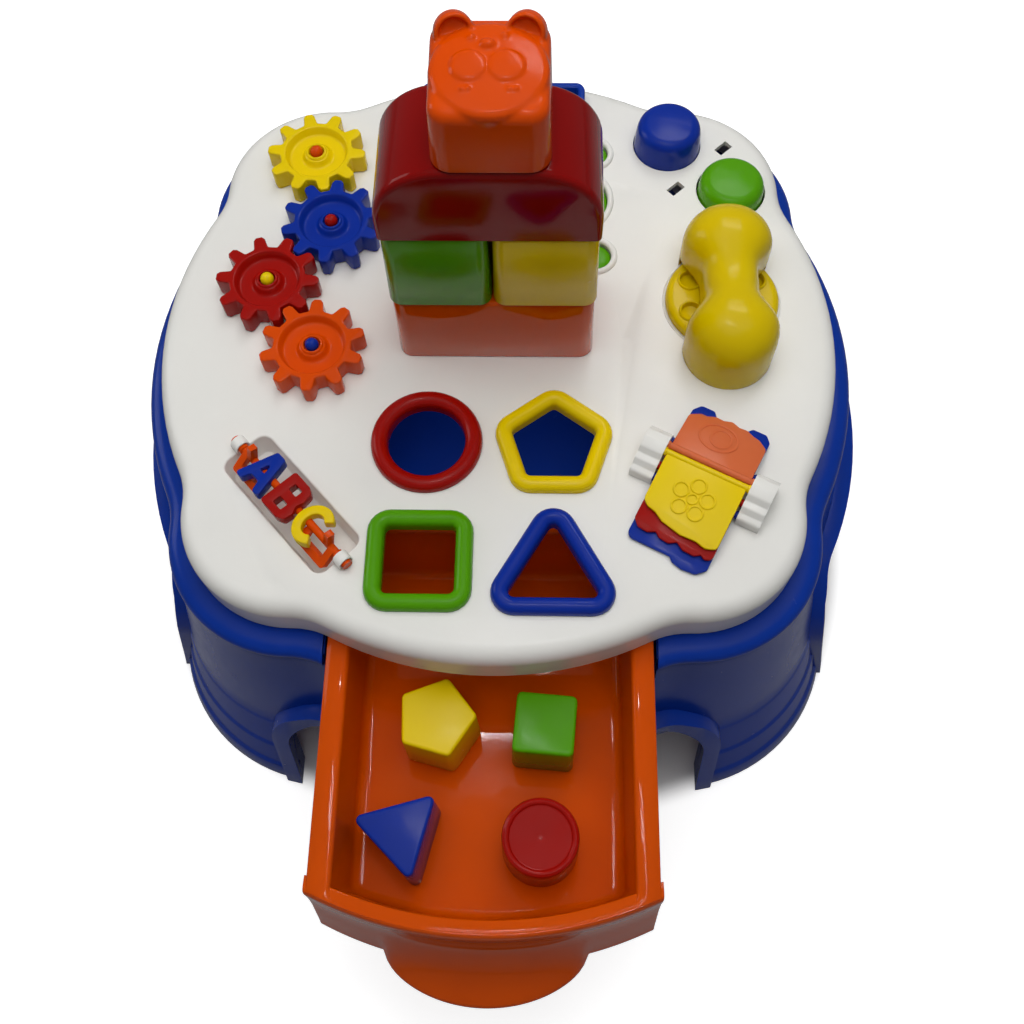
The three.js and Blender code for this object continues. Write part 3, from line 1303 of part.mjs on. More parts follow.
const inBook = (x, y) => {
  const turn = radians(BOOK_TURN);
  return [
    BOOK_AT[0] + x * Math.cos(turn) - y * Math.sin(turn),
    BOOK_AT[1] + x * Math.sin(turn) + y * Math.cos(turn),
  ];
};
const BRACKET_X = PAGE_HALF_W + BRACKET_GAP;
add('book_bracket_right', makeBracket(), WHITE, inBook(BRACKET_X, 0), SEAT, BOOK_TURN);
add('book_bracket_left', makeBracket().mirror([1, 0, 0]), WHITE, inBook(-BRACKET_X, 0), SEAT, BOOK_TURN);
const PAGES = [
  ['blue_page', BLUE_PAGE_shares, DEEP_BLUE, [], 0],
  ['red_page', RED_PAGE_shares, RED, [], 0],
  ['yellow_page', YELLOW_PAGE_shares, YELLOW, flowerMotif(-PAGE_L / 2), 0],
  ['orange_page', ORANGE_PAGE_shares, CORAL, ovalMotif(-PAGE_L / 2), Math.PI],
  ['blue_back_page', BACK_PAGE_shares, DEEP_BLUE, [], Math.PI],
];
PAGES.forEach(([name, end, finish, motif, turn], i) => {
  const pageTurn = BOOK_TURN + THREE.MathUtils.radToDeg(turn);
  add(name, makePage(end, motif), finish, inBook(0, ROD_YS[i]), ROD_ZS[i], pageTurn, 0, PAGE_SLOPES[i]);
});

add('tower_base_block', hollowBlock(TOWER_HALF_X, BASE_H - SEAT), ORANGE, [0, TOWER_Y], SEAT);
const UNIT_HALF = (TOWER_HALF_X - SEAT) / 2;
const UNIT_X = TOWER_HALF_X - UNIT_HALF;
add('tower_green_block', hollowBlock(UNIT_HALF, MIDDLE_H - SEAT), GREEN, [-UNIT_X, TOWER_Y], BASE_H + SEAT);
add('tower_yellow_block', hollowBlock(UNIT_HALF, MIDDLE_H - SEAT), YELLOW, [UNIT_X, TOWER_Y], BASE_H + SEAT);
const ROOF_Z = BASE_H + MIDDLE_H + SEAT;
add('tower_roof_block', makeRoof(), DARK_RED, [0, TOWER_Y], ROOF_Z);
add('tower_bear_block', makeBear(), BRIGHT_ORANGE, [BEAR_X, TOWER_Y], ROOF_Z + ROOF_H + SEAT);

// The origin lies on the floor under the middle of the table's box
const reach = new THREE.Box3().setFromObject(table);
const middle = reach.getCenter(new THREE.Vector3());
table.position.set(-middle.x, -middle.y, -reach.min.z);

export default table;
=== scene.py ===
# Toddlers' activity table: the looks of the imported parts, in metres, in the frame of the part.
import json
import math

import bmesh
import bpy
from mathutils import Matrix, Vector


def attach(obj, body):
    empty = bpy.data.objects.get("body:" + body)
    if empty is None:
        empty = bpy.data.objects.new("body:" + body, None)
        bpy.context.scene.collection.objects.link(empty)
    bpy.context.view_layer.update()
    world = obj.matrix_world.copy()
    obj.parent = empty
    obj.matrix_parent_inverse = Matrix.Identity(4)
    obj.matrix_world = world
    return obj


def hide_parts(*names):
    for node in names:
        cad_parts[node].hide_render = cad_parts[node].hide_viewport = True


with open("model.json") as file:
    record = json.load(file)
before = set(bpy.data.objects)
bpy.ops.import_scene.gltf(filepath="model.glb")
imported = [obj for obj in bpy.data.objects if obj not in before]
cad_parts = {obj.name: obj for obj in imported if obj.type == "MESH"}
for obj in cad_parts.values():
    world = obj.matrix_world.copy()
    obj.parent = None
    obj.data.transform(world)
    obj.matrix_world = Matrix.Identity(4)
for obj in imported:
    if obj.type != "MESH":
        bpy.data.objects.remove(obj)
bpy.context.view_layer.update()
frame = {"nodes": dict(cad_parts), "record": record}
scene = bpy.context.scene
scene.view_settings.view_transform = "Standard"

# Pieces are drawn in millimetres with z = 0 on the white top, then brought home to the part's frame
MM = 0.001
HOME = Vector((0.0, 64.1516, 205.0))
FULL = 2 * math.pi
QUARTER = math.pi / 2

# Camera at the viewing angle of the photograph, focal length in its pixels
PHOTO_SIZE = 1024
FOCAL_PIXELS = 1122.6
LOOK_DOWN = math.radians(66.2906)
ROLL = math.radians(-2.7815)
SWING = math.radians(-3.7042)
DISTANCE = 646.617
SIDEWAYS = -3.8698
RISE = -103.0404


def add_camera():
    sine, cosine = math.sin(LOOK_DOWN), math.cos(LOOK_DOWN)
    right = Vector((1, 0, 0))
    down = Vector((0, -sine, -cosine))
    ahead = Vector((0, cosine, -sine))
    place = Vector((-SIDEWAYS, RISE * sine - DISTANCE * cosine, RISE * cosine + DISTANCE * sine))
    rolled = right * math.cos(ROLL) - down * math.sin(ROLL)
    dropped = right * math.sin(ROLL) + down * math.cos(ROLL)
    swing = Matrix.Rotation(-SWING, 3, "Z")
    turn = Matrix([swing @ rolled, swing @ -dropped, swing @ -ahead]).transposed()
    data = bpy.data.cameras.new("photo_camera")
    data.sensor_width = 36
    data.lens = FOCAL_PIXELS / PHOTO_SIZE * data.sensor_width
    camera = bpy.data.objects.new("photo_camera", data)
    scene.collection.objects.link(camera)
    camera.matrix_world = Matrix.Translation((swing @ place + HOME) * MM) @ turn.to_4x4()
    scene.camera = camera


# Colours are sRGB hex, turned to linear here
def colour(text):
    parts = [int(text[i : i + 2], 16) / 255 for i in (0, 2, 4)]
    return (*[c / 12.92 if c <= 0.04045 else ((c + 0.055) / 1.055) ** 2.4 for c in parts], 1)


def add_node(tree, kind, settings=None, inputs=None):
    node = tree.nodes.new(kind)
    for key, value in (settings or {}).items():
        setattr(node, key, value)
    for key, value in (inputs or {}).items():
        if isinstance(value, bpy.types.NodeSocket):
            tree.links.new(value, node.inputs[key])
        else:
            node.inputs[key].default_value = value
    return node


# Injection-moulded plastic, widths in millimetres: clouds of tint, patches rubbed dull by hands, orange
# peel from the mould, and slow waves where the wall sank. Real peel is finer; this is as fine as shows
CLOUD_WIDTH = 35.7
RUB_WIDTH = 13.3
PEEL_WIDTH = 2.38
SINK_WIDTH = 29.4
# ABS is nearer 1.5, but at that the upright faces turn paler than the real ones
PLASTIC_IOR = 1.3


def moulded(name, shade, worn, roughness, wave, clear=0.0):
    material = bpy.data.materials.new(name)
    material.use_nodes = True
    tree = material.node_tree
    tree.nodes.clear()
    place = add_node(tree, "ShaderNodeTexCoord").outputs["Object"]
    clouds = add_node(tree, "ShaderNodeTexNoise", None, {
        "Vector": place, "Scale": 1 / (CLOUD_WIDTH * MM), "Detail": 3.0, "Roughness": 0.55,
    })
    tint = add_node(tree, "ShaderNodeMix", {"data_type": "RGBA"}, {
        0: clouds.outputs[0], 6: colour(shade), 7: colour(worn),
    })
    rub = add_node(tree, "ShaderNodeTexNoise", None, {
        "Vector": place, "Scale": 1 / (RUB_WIDTH * MM), "Detail": 6.0, "Roughness": 0.7,
    })
    gloss = add_node(tree, "ShaderNodeMapRange", None, {
        0: rub.outputs[0], 1: 0.35, 2: 0.8, 3: roughness, 4: roughness * 1.7,
    })
    peel = add_node(tree, "ShaderNodeTexNoise", None, {
        "Vector": place, "Scale": 1 / (PEEL_WIDTH * MM), "Detail": 1.0,
    })
    skin_bump = add_node(tree, "ShaderNodeBump", None, {
        "Strength": 0.3 * roughness, "Distance": 0.0004, "Height": peel.outputs[0],
    })
    sink = add_node(tree, "ShaderNodeTexNoise", None, {
        "Vector": place, "Scale": 1 / (SINK_WIDTH * MM), "Detail": 1.0,
    })
    sink_bump = add_node(tree, "ShaderNodeBump", None, {
        "Strength": wave, "Distance": 0.0006, "Height": sink.outputs[0], "Normal": skin_bump.outputs[0],
    })
    shader = add_node(tree, "ShaderNodeBsdfPrincipled", None, {
        "Base Color": tint.outputs[2], "Roughness": gloss.outputs[0], "IOR": PLASTIC_IOR,
        "Normal": sink_bump.outputs[0], "Transmission Weight": clear,
    })
    add_node(tree, "ShaderNodeOutputMaterial", None, {"Surface": shader.outputs[0]})
    return material


# Each slot's plastic: two shades that it drifts between, roughness, depth of its waves, how clear it is
PLASTICS = {
    # White ABS from a polished mould: bright and even, with broad soft reflections
    "white_plastic": moulded("white_abs", "eeede8", "e8e7e2", 0.14, 0.25),
    # Polypropylene of the big shell: a slightly waxy blue with wide, weak highlights
    "blue_plastic": moulded("blue_polypropylene", "0636a0", "053090", 0.18, 0.2),
    # Deeper blue ABS of the small pieces, with tighter highlights than the shell
    "deep_blue_plastic": moulded("deep_blue_abs", "0a2f9c", "082a8e", 0.16, 0.2),
    # Polished polypropylene of the drawer: the glossiest, it mirrors lamps as thin streaks
    "orange_plastic": moulded("orange_polypropylene", "d45000", "c84800", 0.03, 0.12),
    # Orange ABS, solid and warm, with small soft glints on its edges
    "bright_orange_plastic": moulded("bright_orange_abs", "dc4c00", "d24400", 0.12, 0.2),
    # Red ABS: a dense red that stays dark where it turns from the light
    "red_plastic": moulded("red_abs", "a30e06", "980c05", 0.16, 0.2),
    # Dark red polypropylene of the roof, smooth enough to mirror what stands before it
    "dark_red_plastic": moulded("dark_red_polypropylene", "890402", "7e0402", 0.08, 0.2),
    # Yellow ABS: opaque and strong, with a matt rubbed look on the gear and the rims
    "yellow_plastic": moulded("yellow_abs", "edce00", "e4c400", 0.18, 0.2),
    # Warmer yellow ABS of the telephone, moulded smooth
    "phone_yellow_plastic": moulded("warm_yellow_abs", "dcc000", "d4b600", 0.14, 0.2),
    # Leaf green ABS, even and glossy
    "green_plastic": moulded("green_abs", "56a204", "4e9603", 0.16, 0.2),
    # Coral polycarbonate: slightly see-through, so the sheet glows and looks wavy
    "coral_plastic": moulded("coral_polycarbonate", "ee8250", "e87442", 0.14, 0.6, 0.3),
}


# Drawing: outlines are lists of (x, y), rings are lists of points
def circle(radius, steps):
    angles = [FULL * i / steps for i in range(steps)]
    return [(radius * math.cos(a), radius * math.sin(a)) for a in angles]


# Part of an ellipse, at these angles, for a profile or an outline
def sweep(centre, wide, high, angles):
    return [(centre[0] + wide * math.cos(a), centre[1] + high * math.sin(a)) for a in angles]


def arc(centre, radius, start, end, steps):
    turns = [start + (end - start) * i / steps for i in range(steps + 1)]
    return [(centre[0] + radius * math.cos(a), centre[1] + radius * math.sin(a)) for a in turns]


def rectangle(half_x, half_y):
    return [(-half_x, -half_y), (half_x, -half_y), (half_x, half_y), (-half_x, half_y)]


def span(x0, x1, low, high):
    left, right = sorted((x0, x1))
    return [(left, low), (right, low), (right, high), (left, high)]


def regular(sides, radius, turn=0.0):
    angles = [turn + FULL * i / sides for i in range(sides)]
    return [(radius * math.cos(a), radius * math.sin(a)) for a in angles]


# Rounds every corner of an outline; a corner may carry its own radius as a third number
def filleted(corners, radius, steps):
    points = []
    for i, corner in enumerate(corners):
        here = Vector(corner[:2])
        reach = corner[2] if len(corner) > 2 else radius
        before = (Vector(corners[i - 1][:2]) - here).normalized()
        after = (Vector(corners[(i + 1) % len(corners)][:2]) - here).normalized()
        half = before.angle(after) / 2
        if reach <= 0 or half > math.radians(86):
            points.append(tuple(here))
            continue
        back = reach / math.tan(half)
        middle = here + (before + after).normalized() * (reach / math.sin(half))
        start = here + before * back - middle
        end = here + after * back - middle
        first = math.atan2(start.y, start.x)
        bend = (math.atan2(end.y, end.x) - first + math.pi) % FULL - math.pi
        points += arc(middle, reach, first, first + bend, steps)
    return points


# An outline moved outwards by an offset, with its corners rounded about the same centres
def grown(corners, radius, offset, steps=6):
    return filleted([grown_corner(corners, i, offset) for i in range(len(corners))], radius + offset, steps)


def grown_corner(corners, i, offset):
    here = Vector(corners[i])
    before = (Vector(corners[i - 1]) - here).normalized()
    after = (Vector(corners[(i + 1) % len(corners)]) - here).normalized()
    half = before.angle(after) / 2
    return tuple(here - (before + after).normalized() * (offset / math.sin(half)))


# The four-lobed outline of the carcass: share 0 is the white top, share 1 the feet.
# Each form is the radius of a side, the distance to a corner's centre, and the radii of corner and notch
TOP_FORM = (195, 153, 62, 45)
FOOT_FORM = (245, 160, 107.4, 60)
SIDE_STEPS, NOTCH_STEPS, CORNER_STEPS = 9, 5, 11


def lobed(share, offset):
    form = [top + (foot - top) * share for top, foot in zip(TOP_FORM, FOOT_FORM)]
    side, corner_at, corner_r, notch_r = form
    to_notch, apart = side + notch_r, corner_r + notch_r
    spread = math.acos((corner_at**2 + to_notch**2 - apart**2) / (2 * corner_at * to_notch))
    diagonal = QUARTER / 2
    notch_turn = diagonal - spread
    notch = (to_notch * math.cos(notch_turn), to_notch * math.sin(notch_turn))
    corner = (corner_at * math.cos(diagonal), corner_at * math.sin(diagonal))
    meet = math.atan2(notch[1] - corner[1], notch[0] - corner[0])
    half = arc((0, 0), side + offset, 0, notch_turn, SIDE_STEPS)[:-1]
    half += arc(notch, notch_r - offset, notch_turn + math.pi, meet + math.pi, NOTCH_STEPS)[:-1]
    half += arc(corner, corner_r + offset, meet, diagonal, CORNER_STEPS)
    quarter = half + [(y, x) for x, y in reversed(half[1:-1])]
    points = []
    for c, s in ((1, 0), (0, 1), (-1, 0), (0, -1)):
        points += [(x * c - y * s, x * s + y * c) for x, y in quarter]
    return points


def ring(outline, z):
    return [Vector((x, y, z)) for x, y in outline]


def chain(bm, points, closed):
    verts = [bm.verts.new(point) for point in points]
    pairs = list(zip(verts, verts[1:])) + ([(verts[-1], verts[0])] if closed else [])
    return [bm.edges.new(pair) for pair in pairs]


# Faces between rings of equal counts, with a lid on each end unless the rings close on themselves
def skin(rings, closed=False):
    bm = bmesh.new()
    loops = [[bm.verts.new(point) for point in points] for points in rings]
    for low, high in zip(loops, loops[1:] + loops[:1]) if closed else zip(loops, loops[1:]):
        for i in range(len(low)):
            bm.faces.new((low[i - 1], low[i], high[i], high[i - 1]))
    if not closed:
        bm.faces.new(loops[0])
        bm.faces.new(loops[-1])
    bmesh.ops.recalc_face_normals(bm, faces=bm.faces)
    return bm


def slab(outline, low, high):
    return skin([ring(outline, low), ring(outline, high)])


# Turns a profile of (radius, height) about Z
def lathe(profile, steps, closed=False):
    bm = bmesh.new()
    edges = chain(bm, [Vector((r, 0, z)) for r, z in profile], closed)
    line = list(bm.verts) + edges
    bmesh.ops.spin(bm, geom=line, cent=(0, 0, 0), axis=(0, 0, 1), angle=FULL, steps=steps, use_merge=True)
    bmesh.ops.remove_doubles(bm, verts=bm.verts, dist=0.0005)
    bmesh.ops.recalc_face_normals(bm, faces=bm.faces)
    return bm


# Tips a drawn shape, turns it about Z and moves it
def put(bm, x=0.0, y=0.0, z=0.0, turn=0.0, tip=None):
    matrix = Matrix.Translation((x, y, z)) @ Matrix.Rotation(turn, 4, "Z")
    bmesh.ops.transform(bm, matrix=matrix @ (tip or Matrix.Identity(4)), verts=bm.verts)
    return bm


ALONG_X = Matrix(((0, 0, 1, 0), (1, 0, 0, 0), (0, 1, 0, 0), (0, 0, 0, 1)))
ALONG_Y = Matrix.Rotation(QUARTER, 4, "X")


def together(*shapes):
    whole = bmesh.new()
    for bm in shapes:
        mesh = bpy.data.meshes.new("part")
        bm.to_mesh(mesh)
        bm.free()
        whole.from_mesh(mesh)
        bpy.data.meshes.remove(mesh)
    return whole


def draft(bm, name="draft"):
    mesh = bpy.data.meshes.new(name)
    bm.to_mesh(mesh)
    bm.free()
    obj = bpy.data.objects.new(name, mesh)
    scene.collection.objects.link(obj)
    return obj


# Applies the modifiers that a piece carries
def settle(obj):
    bpy.context.view_layer.update()
    mesh = bpy.data.meshes.new_from_object(obj.evaluated_get(bpy.context.evaluated_depsgraph_get()))
    obj.modifiers.clear()
    old = obj.data
    obj.data = mesh
    bpy.data.meshes.remove(old)
    return obj


def combine(obj, tool, how="DIFFERENCE"):
    other = draft(tool, "tool")
    step = obj.modifiers.new("join", "BOOLEAN")
    step.operation = how
    step.solver = "EXACT"
    step.object = other
    settle(obj)
    bpy.data.objects.remove(other)
    return obj


def rounded(obj, width, segments, angle):
    step = obj.modifiers.new("edges", "BEVEL")
    step.width = width
    step.segments = segments
    step.limit_method = "ANGLE"
    step.angle_limit = math.radians(angle)
    step.use_clamp_overlap = True
    return settle(obj)


# Brings a drawn piece home, smooths it and ties it to its body
def finish(obj, name, slot, body, *nodes, smooth=38):
    obj.name = name
    obj.data.name = name
    obj.data.transform(Matrix.Scale(MM, 4) @ Matrix.Translation(HOME))
    obj.data.shade_smooth()
    obj.data.set_sharp_from_angle(angle=math.radians(smooth))
    obj.data.materials.clear()
    obj.data.materials.append(PLASTICS[slot])
    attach(obj, body)
    if nodes:
        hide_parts(*nodes)


# Carcass, and where the play pieces stand on it
SEAT = 0.3
TOP_EDGE = 9.5
SKIRT = -27.7
GEAR_STEP = 53.5
GEAR_BEARINGS = [math.radians(degrees) for degrees in (-75.5, -129.0, -55.8)]
GEAR_AT = [(-113.0, 121.6)]
for bearing in GEAR_BEARINGS:
    last = GEAR_AT[-1]
    GEAR_AT.append((last[0] + GEAR_STEP * math.cos(bearing), last[1] + GEAR_STEP * math.sin(bearing)))
WELL_AT, WELL_TURN = (-108.0, -108.5), math.radians(-47.26)
WELL_BACK, WELL_FRONT, WELL_HALF, WELL_CORNER = -44.5, 42.6, 15.3, 6
DISHES = (
    ("green_disc_back", (56, 131.5), 9.6),
    ("green_disc_middle", (42, 96), 23),
    ("green_disc_front", (57, 54.5), 9.6),
)
DIAL_AT = (130, 22.5)
TRAY_Y = 164.5
SLOTS_AT, SLOT_TURN = ((137.4, 136.3), (106.8, 104.8)), math.radians(44)
BLUE_BUTTON_AT, GREEN_BUTTON_AT = (102.5, 139.0), (140.0, 103.5)
SINK_MARKS = ((77.7, 103.7), (75.4, -3.7), (-114.3, -153.6))
SORTER = {
    "round": ((-36.7, -70.7), lambda o: circle(21.25 + o, 96)),
    "pentagon": ((33.3, -71.7), lambda o: grown(regular(5, 24.4, QUARTER), 3, o)),
    "square": ((-37.3, -140.7), lambda o: grown(rectangle(18.9, 18.9), 3, o)),
    "triangle": ((33.3, -146.2), lambda o: grown(regular(3, 29.2, QUARTER), 3, o, 9)),
}


def well(offset):
    back, front, half = WELL_BACK - offset, WELL_FRONT + offset, WELL_HALF + offset
    return filleted([(back, -half), (front, -half), (front, half), (back, half)], WELL_CORNER + offset, 8)


# White top: a thin shell with the spinner's well, the holes for the play pieces and the dishes' raised rims
def make_top():
    middle = (-TOP_EDGE, -TOP_EDGE)
    inner = TOP_EDGE - 3
    profile = sweep(middle, TOP_EDGE, TOP_EDGE, [QUARTER * i / 10 for i in range(10, -1, -1)])
    profile += [(0, SKIRT + 1), (-0.9, SKIRT), (-2.6, SKIRT), (-3, SKIRT + 0.8)]
    profile += sweep(middle, inner, inner, [QUARTER * i / 5 for i in range(6)])
    top = draft(skin([ring(lobed(0, out), z) for out, z in profile]))
    case = skin([ring(well(2), -16.5), ring(well(2), -1.5)])
    combine(top, put(case, *WELL_AT, 0, WELL_TURN), "UNION")
    quarters = [QUARTER * i / 4 for i in range(4, -1, -1)]
    flare = [(1.3 - 1.3 * math.sin(a), -1.3 + 1.3 * math.cos(a)) for a in quarters]
    hollow = [ring(well(-4), -14.5), ring(well(-2.2), -14.2), ring(well(-1), -12.5)]
    hollow += [ring(well(out), z) for out, z in flare] + [ring(well(1.3), 6)]
    tools = [put(skin(hollow), *WELL_AT, 0, WELL_TURN)]
    tools += [put(slab(outline(1.9), -8, 5), *at) for at, outline in SORTER.values()]
    tools += [put(slab(circle(r, 64), -8, 5), *at) for _, at, r in DISHES]
    tools += [put(slab(rectangle(5, 3), -8, 5), *at, 0, SLOT_TURN) for at in SLOTS_AT]
    tools += [put(slab(circle(20.9, 72), -8, 5), *at) for at in (BLUE_BUTTON_AT, GREEN_BUTTON_AT)]
    tools.append(put(slab(filleted(rectangle(50.3, 13.8), 5, 5), -8, 5), 0, TRAY_Y))
    sunk = [(0, -0.35), (2.4, -0.3), (3.6, 0), (3.6, 2), (0, 2)]
    tools += [put(lathe(sunk, 32), *at) for at in SINK_MARKS]
    combine(top, together(*tools))
    extras = []
    for _, at, r in DISHES:
        crown = sweep((r + 1.9, 0), -1.9, 2.1, [math.pi * i / 10 for i in range(11)])
        crown += [(r + 3.8, -1), (r, -3)]
        extras.append(put(lathe(crown, 64, closed=True), *at))
    for at in GEAR_AT:
        extras.append(put(lathe([(0, -12), (6.5, -12), (6.5, -1.5), (0, -1.5)], 32), *at))
    dial_seat = [(33.5, -1), (33.5, 0.4), (33.9, 0.7), (34.3, 0.4), (34.3, -1)]
    extras.append(put(lathe(dial_seat, 96, closed=True), *DIAL_AT))
    finish(top, "white_top", "white_plastic", "carcass", "table_top")
    finish(draft(together(*extras)), "dish_rims", "white_plastic", "carcass", "table_top")


# The shell flares from its rim's share of the outline to the feet's, and steps out at each ledge
RIM = 0.24
LEDGES = ((-132, 0.03), (-165, 0.045), (-190, 0.05))
WALL_TOP, HOOD_TOP, FLOOR = -40, -50, -205
ARCH_TOP, ARCH_HALF_TOP, ARCH_HALF_FLOOR = -107.5, 127, 133
MOUTH_HALF, MOUTH_BOTTOM = 90, -88.3


def wall_share(z):
    flare = 1 - RIM - sum(step for _, step in LEDGES)
    stepped = sum(step for ledge, step in LEDGES if z < ledge)
    return RIM + flare * (WALL_TOP - z) / (WALL_TOP - FLOOR) + stepped


# The arch's opening as a solid, or that of its raised border, which is wider by a band
def arch_prism(border, x0, x1):
    side, band, shoulder = (10, 12, 48) if border else (0, 0, 38)
    low, high = ARCH_HALF_FLOOR + side, ARCH_HALF_TOP + side
    corners = [(-low, FLOOR - 80), (low, FLOOR - 80), (high, ARCH_TOP + band), (-high, ARCH_TOP + band)]
    return put(slab(filleted(corners, shoulder, 14), x0, x1), tip=ALONG_X)


# Blue shell, from the bead under the top down to the feet and up inside, then the borders round its arches
def make_base():
    bead = sweep((7.75, -34), 8.25, 5.75, [QUARTER - 2.62 * i / 14 for i in range(15)])
    rings = [ring(lobed(RIM, out - 14), z) for out, z in bead]
    rings += [ring(lobed(RIM, 0.2), -39.4)]
    for z in (-45, -62, -80, -100, -118):
        rings.append(ring(lobed(wall_share(z), 0), z))
    for z, step in LEDGES:
        share = wall_share(z)
        rings += [ring(lobed(share, 0), z + 0.9), ring(lobed(share, 0.4), z + 0.1)]
        rings += [ring(lobed(share + step, -0.5), z - 1.2), ring(lobed(share + step, 0), z - 2.2)]
    rings += [ring(lobed(1, 0), FLOOR + 0.8), ring(lobed(1, -0.8), FLOOR), ring(lobed(1, -15), FLOOR)]
    rings += [ring(lobed(RIM + 0.02, -3.4), -46), ring(lobed(RIM, -4.6), -36), ring(lobed(RIM, -6.25), -31)]
    rings += [ring(lobed(0, -6), -31), ring(lobed(0, -6), -28)]
    base = draft(skin(rings, closed=True))
    tools = []
    for side in range(4):
        tools.append(put(arch_prism(False, 120, 300), turn=side * QUARTER))
    mouth = [(-MOUTH_HALF, -300), (MOUTH_HALF, -300), (MOUTH_HALF, -95), (-MOUTH_HALF, -95)]
    tools.append(slab(mouth, MOUTH_BOTTOM, 5))
    hole = filleted(rectangle(70, 17.5), 17.4, 10)
    drop = Matrix.Translation((0, 0, -75.5)) @ ALONG_X
    for side in (0, 2):
        tools.append(put(slab(hole, 130, 290), turn=side * QUARTER, tip=drop))
    combine(base, together(*tools))
    base = rounded(base, 1.1, 2, 48)
    finish(base, "blue_shell", "blue_plastic", "carcass", "base_shell")

    def hood_share(z):
        return RIM + (1 - RIM) * (HOOD_TOP - z) / (HOOD_TOP - FLOOR)

    proud = ((-90, 10), (-110, 6.3), (-130, 6), (-150, 5), (-170, 4), (-190, 3), (FLOOR, 2.5))
    shell = [ring(lobed(hood_share(z), out), z) for z, out in proud]
    shell += [ring(lobed(hood_share(z), -5), z) for z, _ in reversed(proud)]
    hood = draft(skin(shell, closed=True))
    combine(hood, arch_prism(True, 130, 290), "INTERSECT")
    combine(hood, arch_prism(False, 120, 300))
    hood = rounded(hood, 1.6, 3, 50)
    single = bmesh.new()
    single.from_mesh(hood.data)
    copies = [put(single.copy(), turn=side * QUARTER) for side in range(4)]
    single.free()
    bpy.data.objects.remove(hood)
    finish(draft(together(*copies)), "arch_borders", "blue_plastic", "carcass", "base_shell")


def make_frame_and_discs():
    def outline(o):
        return [(x, y + TRAY_Y) for x, y in filleted(rectangle(51.5 + o, 15 + o), max(6 + o, 0.5), 8)]

    profile = [(-1.5, -14), (-1.5, 0.3), (0, 0.3), (0, 9.3), (-0.5, 10.6), (-1.7, 11), (-3.2, 11), (-4.2, 10.5)]
    profile += [(-4.7, 9.4), (-5.2, 2.6), (-6.6, 2), (-7.6, 1), (-8.2, -9.5), (-9.4, -11.3)]
    tray = draft(skin([ring(outline(o), z) for o, z in profile]))
    finish(tray, "back_tray", "blue_plastic", "carcass", "back_frame")
    for name, at, r in DISHES:
        dome = [(0, -5.8), (r + 2, -5.8), (r + 2, -3.3), (r - 0.3, -3.3), (r - 0.3, -2.2), (r - 1.5, -1.2)]
        dome += [(r * s, -0.5 - 0.7 * s * s) for s in (0.8, 0.55, 0.3)] + [(0, -0.5)]
        finish(draft(put(lathe(dome, 64), *at)), name + "_fine", "green_plastic", "carcass", name)


# Shape sorter and drawer
def make_bezels():
    slots = ("red_plastic", "yellow_plastic", "green_plastic", "deep_blue_plastic")
    for slot, (name, (at, outline)) in zip(slots, SORTER.items()):
        turns = [math.pi * i / 16 for i in range(17)]
        crown = [(4.8 - 4.8 * math.cos(a), SEAT + 5.7 * math.sin(a) ** 0.75) for a in turns]
        profile = [(0, -3)] + crown + [(1.6, SEAT), (1.6, -3)]
        bezel = draft(put(skin([ring(outline(o), z) for o, z in profile], closed=True), *at))
        finish(bezel, name + "_rim", slot, "carcass", name + "_bezel", smooth=50)


# The drawer's front curves about a line this far back; its lip bulges as half an ellipse
FRONT_CENTRE_Y = -110
PANEL_HALF, PANEL_R = 89, 210.4
LIP_HALF, LIP_REACH = 53.5, 20.4


def tray_outline(half, front, back, radius):
    def y_at(x):
        return FRONT_CENTRE_Y - math.sqrt(front**2 - x**2)

    steps = 24
    along = [(half * (1 - 2 * i / steps)) for i in range(1, steps)]
    corners = [(half, back, radius), (-half, back, radius), (-half, y_at(half), radius)]
    corners += [(-x, y_at(x), 0) for x in along]
    corners.append((half, y_at(half), radius))
    return filleted(list(reversed(corners)), 0, 6)


